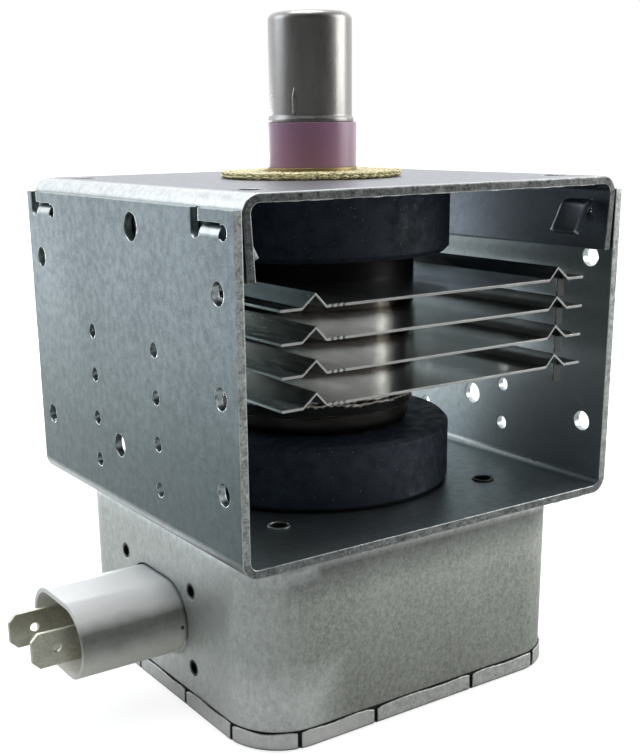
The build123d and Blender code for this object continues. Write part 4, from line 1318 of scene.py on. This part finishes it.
class MAGNETRON_OT_studio(bpy.types.Operator):
    """Set up the floor, the white surroundings, the lamps and the camera"""

    bl_idname = "magnetron.studio"
    bl_label = "Studio"

    def execute(self, context):
        own = settings("studio")
        scene = context.scene
        scene.view_settings.view_transform = "Standard"
        self.floor(own.floor)
        self.surroundings(scene)
        lamps = (
            ("Left Lamp", own.left, (-0.40, 0.32, 0.22), 0.34, 0.34, (0.84, 0.94, 1.0)),
            ("Right Lamp", own.right, (0.47, -0.28, 0.16), 0.34, 0.34, (1.0, 1.0, 0.95)),
            ("Top Lamp", own.top, (-0.02, 0.05, 0.55), 0.42, 0.42, (1.0, 1.0, 1.0)),
            ("Rear Lamp", own.rear, (0.10, 0.42, -0.045), 0.40, 0.08, (0.92, 0.98, 1.0)),
        )
        aim = Vector((0, 0, -0.04))
        for name, watts, place, size, height, tone in lamps:
            lamp = bpy.data.lights.new(name, "AREA")
            lamp.energy = watts
            lamp.color = tone
            lamp.shape = "RECTANGLE"
            lamp.size = size
            lamp.size_y = height
            holder = bpy.data.objects.new(name, lamp)
            holder.location = place
            holder.rotation_euler = (aim - Vector(place)).to_track_quat("-Z", "Y").to_euler()
            scene.collection.objects.link(holder)
        self.camera(scene, own.focal_length)
        return {"FINISHED"}

    def floor(self, pale):
        """Pale floor under the filter can, which the camera sees as white outside the shadow."""
        material = bpy.data.materials.new("Pale Floor")
        material.use_nodes = True
        tree = material.node_tree
        shader = tree.nodes["Principled BSDF"]
        shader.inputs["Base Color"].default_value = rgba(pale)
        shader.inputs["Roughness"].default_value = 0.9
        shader.inputs["Specular IOR Level"].default_value = 0.0
        shader.inputs["Emission Color"].default_value = (1, 1, 1, 1)
        place = own_place(tree)
        distance = vector_maths(tree, "LENGTH", place, output="Value")
        away = vector_maths(tree, "DOT_PRODUCT", place, BACKWARDS, "Value")
        white = spread(tree, distance, 0.12, 0.34, 0.80, 1.05)
        near = spread(tree, distance, 0.05, 0.34, 0.10, 1.0)
        behind = spread(tree, away, -0.08, 0.12, 0.10, 1.0)
        camera_ray, mirrored = self.kinds_of_ray(tree)
        shown = maths(tree, "MULTIPLY", mirrored, maths(tree, "MULTIPLY", near, behind))
        glow = maths(tree, "MULTIPLY_ADD", camera_ray, white, shown)
        tree.links.new(glow, shader.inputs["Emission Strength"])
        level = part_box("filter_lid")[0].z
        half = 4
        places = [(-half, -half, level), (half, -half, level), (half, half, level), (-half, half, level)]
        mesh = bpy.data.meshes.new("floor")
        mesh.from_pydata(places, [], [(0, 1, 2, 3)])
        mesh.materials.append(material)
        floor = bpy.data.objects.new("floor", mesh)
        bpy.context.scene.collection.objects.link(floor)

    def kinds_of_ray(self, tree):
        """Whether a ray comes from the camera, and whether it comes from gloss or glass."""
        seen = wire_up(tree, "ShaderNodeLightPath").outputs
        mirrored = maths(tree, "MAXIMUM", seen["Is Glossy Ray"], seen["Is Transmission Ray"])
        return seen["Is Camera Ray"], mirrored

    def surroundings(self, scene):
        """White to the camera; for the object, bright above and behind and dimmer in front."""
        world = bpy.data.worlds.new("Studio")
        world.use_nodes = True
        scene.world = world
        tree = world.node_tree
        tree.nodes.clear()
        place = wire_up(tree, "ShaderNodeTexCoord").outputs["Generated"]
        parts = wire_up(tree, "ShaderNodeSeparateXYZ", {0: place}).outputs
        away = vector_maths(tree, "DOT_PRODUCT", place, BACKWARDS, "Value")
        behind = maths(tree, "POWER", spread(tree, away, -0.9, 0.6), 1.5)
        height = spread(tree, parts[2], -0.1, 0.4, 0.80, 1.35)
        backdrop = maths(tree, "MULTIPLY", maths(tree, "MULTIPLY_ADD", behind, 1.05, 0.05), height)
        level = maths(tree, "MULTIPLY", backdrop, 0.55)
        camera_ray, mirrored = self.kinds_of_ray(tree)
        level = wire_up(tree, "ShaderNodeMix", {0: mirrored, 2: level, 3: backdrop}).outputs[0]
        level = wire_up(tree, "ShaderNodeMix", {0: camera_ray, 2: level, 3: 1.0}).outputs[0]
        back = wire_up(tree, "ShaderNodeBackground", {"Color": (1, 1, 1, 1), "Strength": level})
        wire_up(tree, "ShaderNodeOutputWorld", {"Surface": back.outputs[0]})

    def camera(self, scene, focal_length):
        """Camera at the photograph's angle, a little above the middle of the box."""
        place = (-0.12524, -0.18166, 0.00889)
        yaw, pitch, roll = (math.radians(angle) for angle in (33.866, 15.977, 0.766))
        frame_height = 755
        forward = Vector((math.sin(yaw) * math.cos(pitch), math.cos(yaw) * math.cos(pitch), -math.sin(pitch)))
        level_right = Vector((math.cos(yaw), -math.sin(yaw), 0))
        down = forward.cross(level_right)
        right = level_right * math.cos(roll) + down * math.sin(roll)
        up = -forward.cross(right)
        lens = bpy.data.cameras.new("Camera")
        lens.lens = focal_length
        lens.sensor_width = 36
        lens.clip_start = 0.01
        lens.shift_x = 20 / frame_height
        lens.shift_y = 82.5 / frame_height
        camera = bpy.data.objects.new("Camera", lens)
        turn = Matrix((right, up, -forward)).transposed().to_4x4()
        camera.matrix_world = Matrix.Translation(place) @ turn
        scene.collection.objects.link(camera)
        scene.camera = camera


OPERATORS = (
    MAGNETRON_OT_groups,
    MAGNETRON_OT_yoke,
    MAGNETRON_OT_magnets,
    MAGNETRON_OT_tube,
    MAGNETRON_OT_gasket,
    MAGNETRON_OT_fins,
    MAGNETRON_OT_filter,
    MAGNETRON_OT_connector,
    MAGNETRON_OT_studio,
)


class MAGNETRON_PT_panel(bpy.types.Panel):
    """Sidebar panel with the magnetron's settings and steps"""

    bl_idname = "MAGNETRON_PT_panel"
    bl_label = "Magnetron"
    bl_space_type = "VIEW_3D"
    bl_region_type = "UI"
    bl_category = "Magnetron"

    def draw(self, context):
        for name, group in SETTINGS.items():
            box = self.layout.box()
            box.label(text=group.__doc__)
            for entry in group.__annotations__:
                box.prop(getattr(context.scene, name), entry)
        for operator in OPERATORS:
            self.layout.operator(operator.bl_idname)


def register():
    for group in SETTINGS.values():
        bpy.utils.register_class(group)
    for name, group in SETTINGS.items():
        setattr(bpy.types.Scene, name, PointerProperty(type=group))
    for entry in (*OPERATORS, MAGNETRON_PT_panel):
        bpy.utils.register_class(entry)


def unregister():
    for entry in (MAGNETRON_PT_panel, *reversed(OPERATORS)):
        bpy.utils.unregister_class(entry)
    for name, group in reversed(SETTINGS.items()):
        delattr(bpy.types.Scene, name)
        bpy.utils.unregister_class(group)


def main():
    register()
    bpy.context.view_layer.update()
    for operator in OPERATORS:
        space, name = operator.bl_idname.split(".")
        getattr(getattr(bpy.ops, space), name)()


if __name__ == "__main__":
    main()
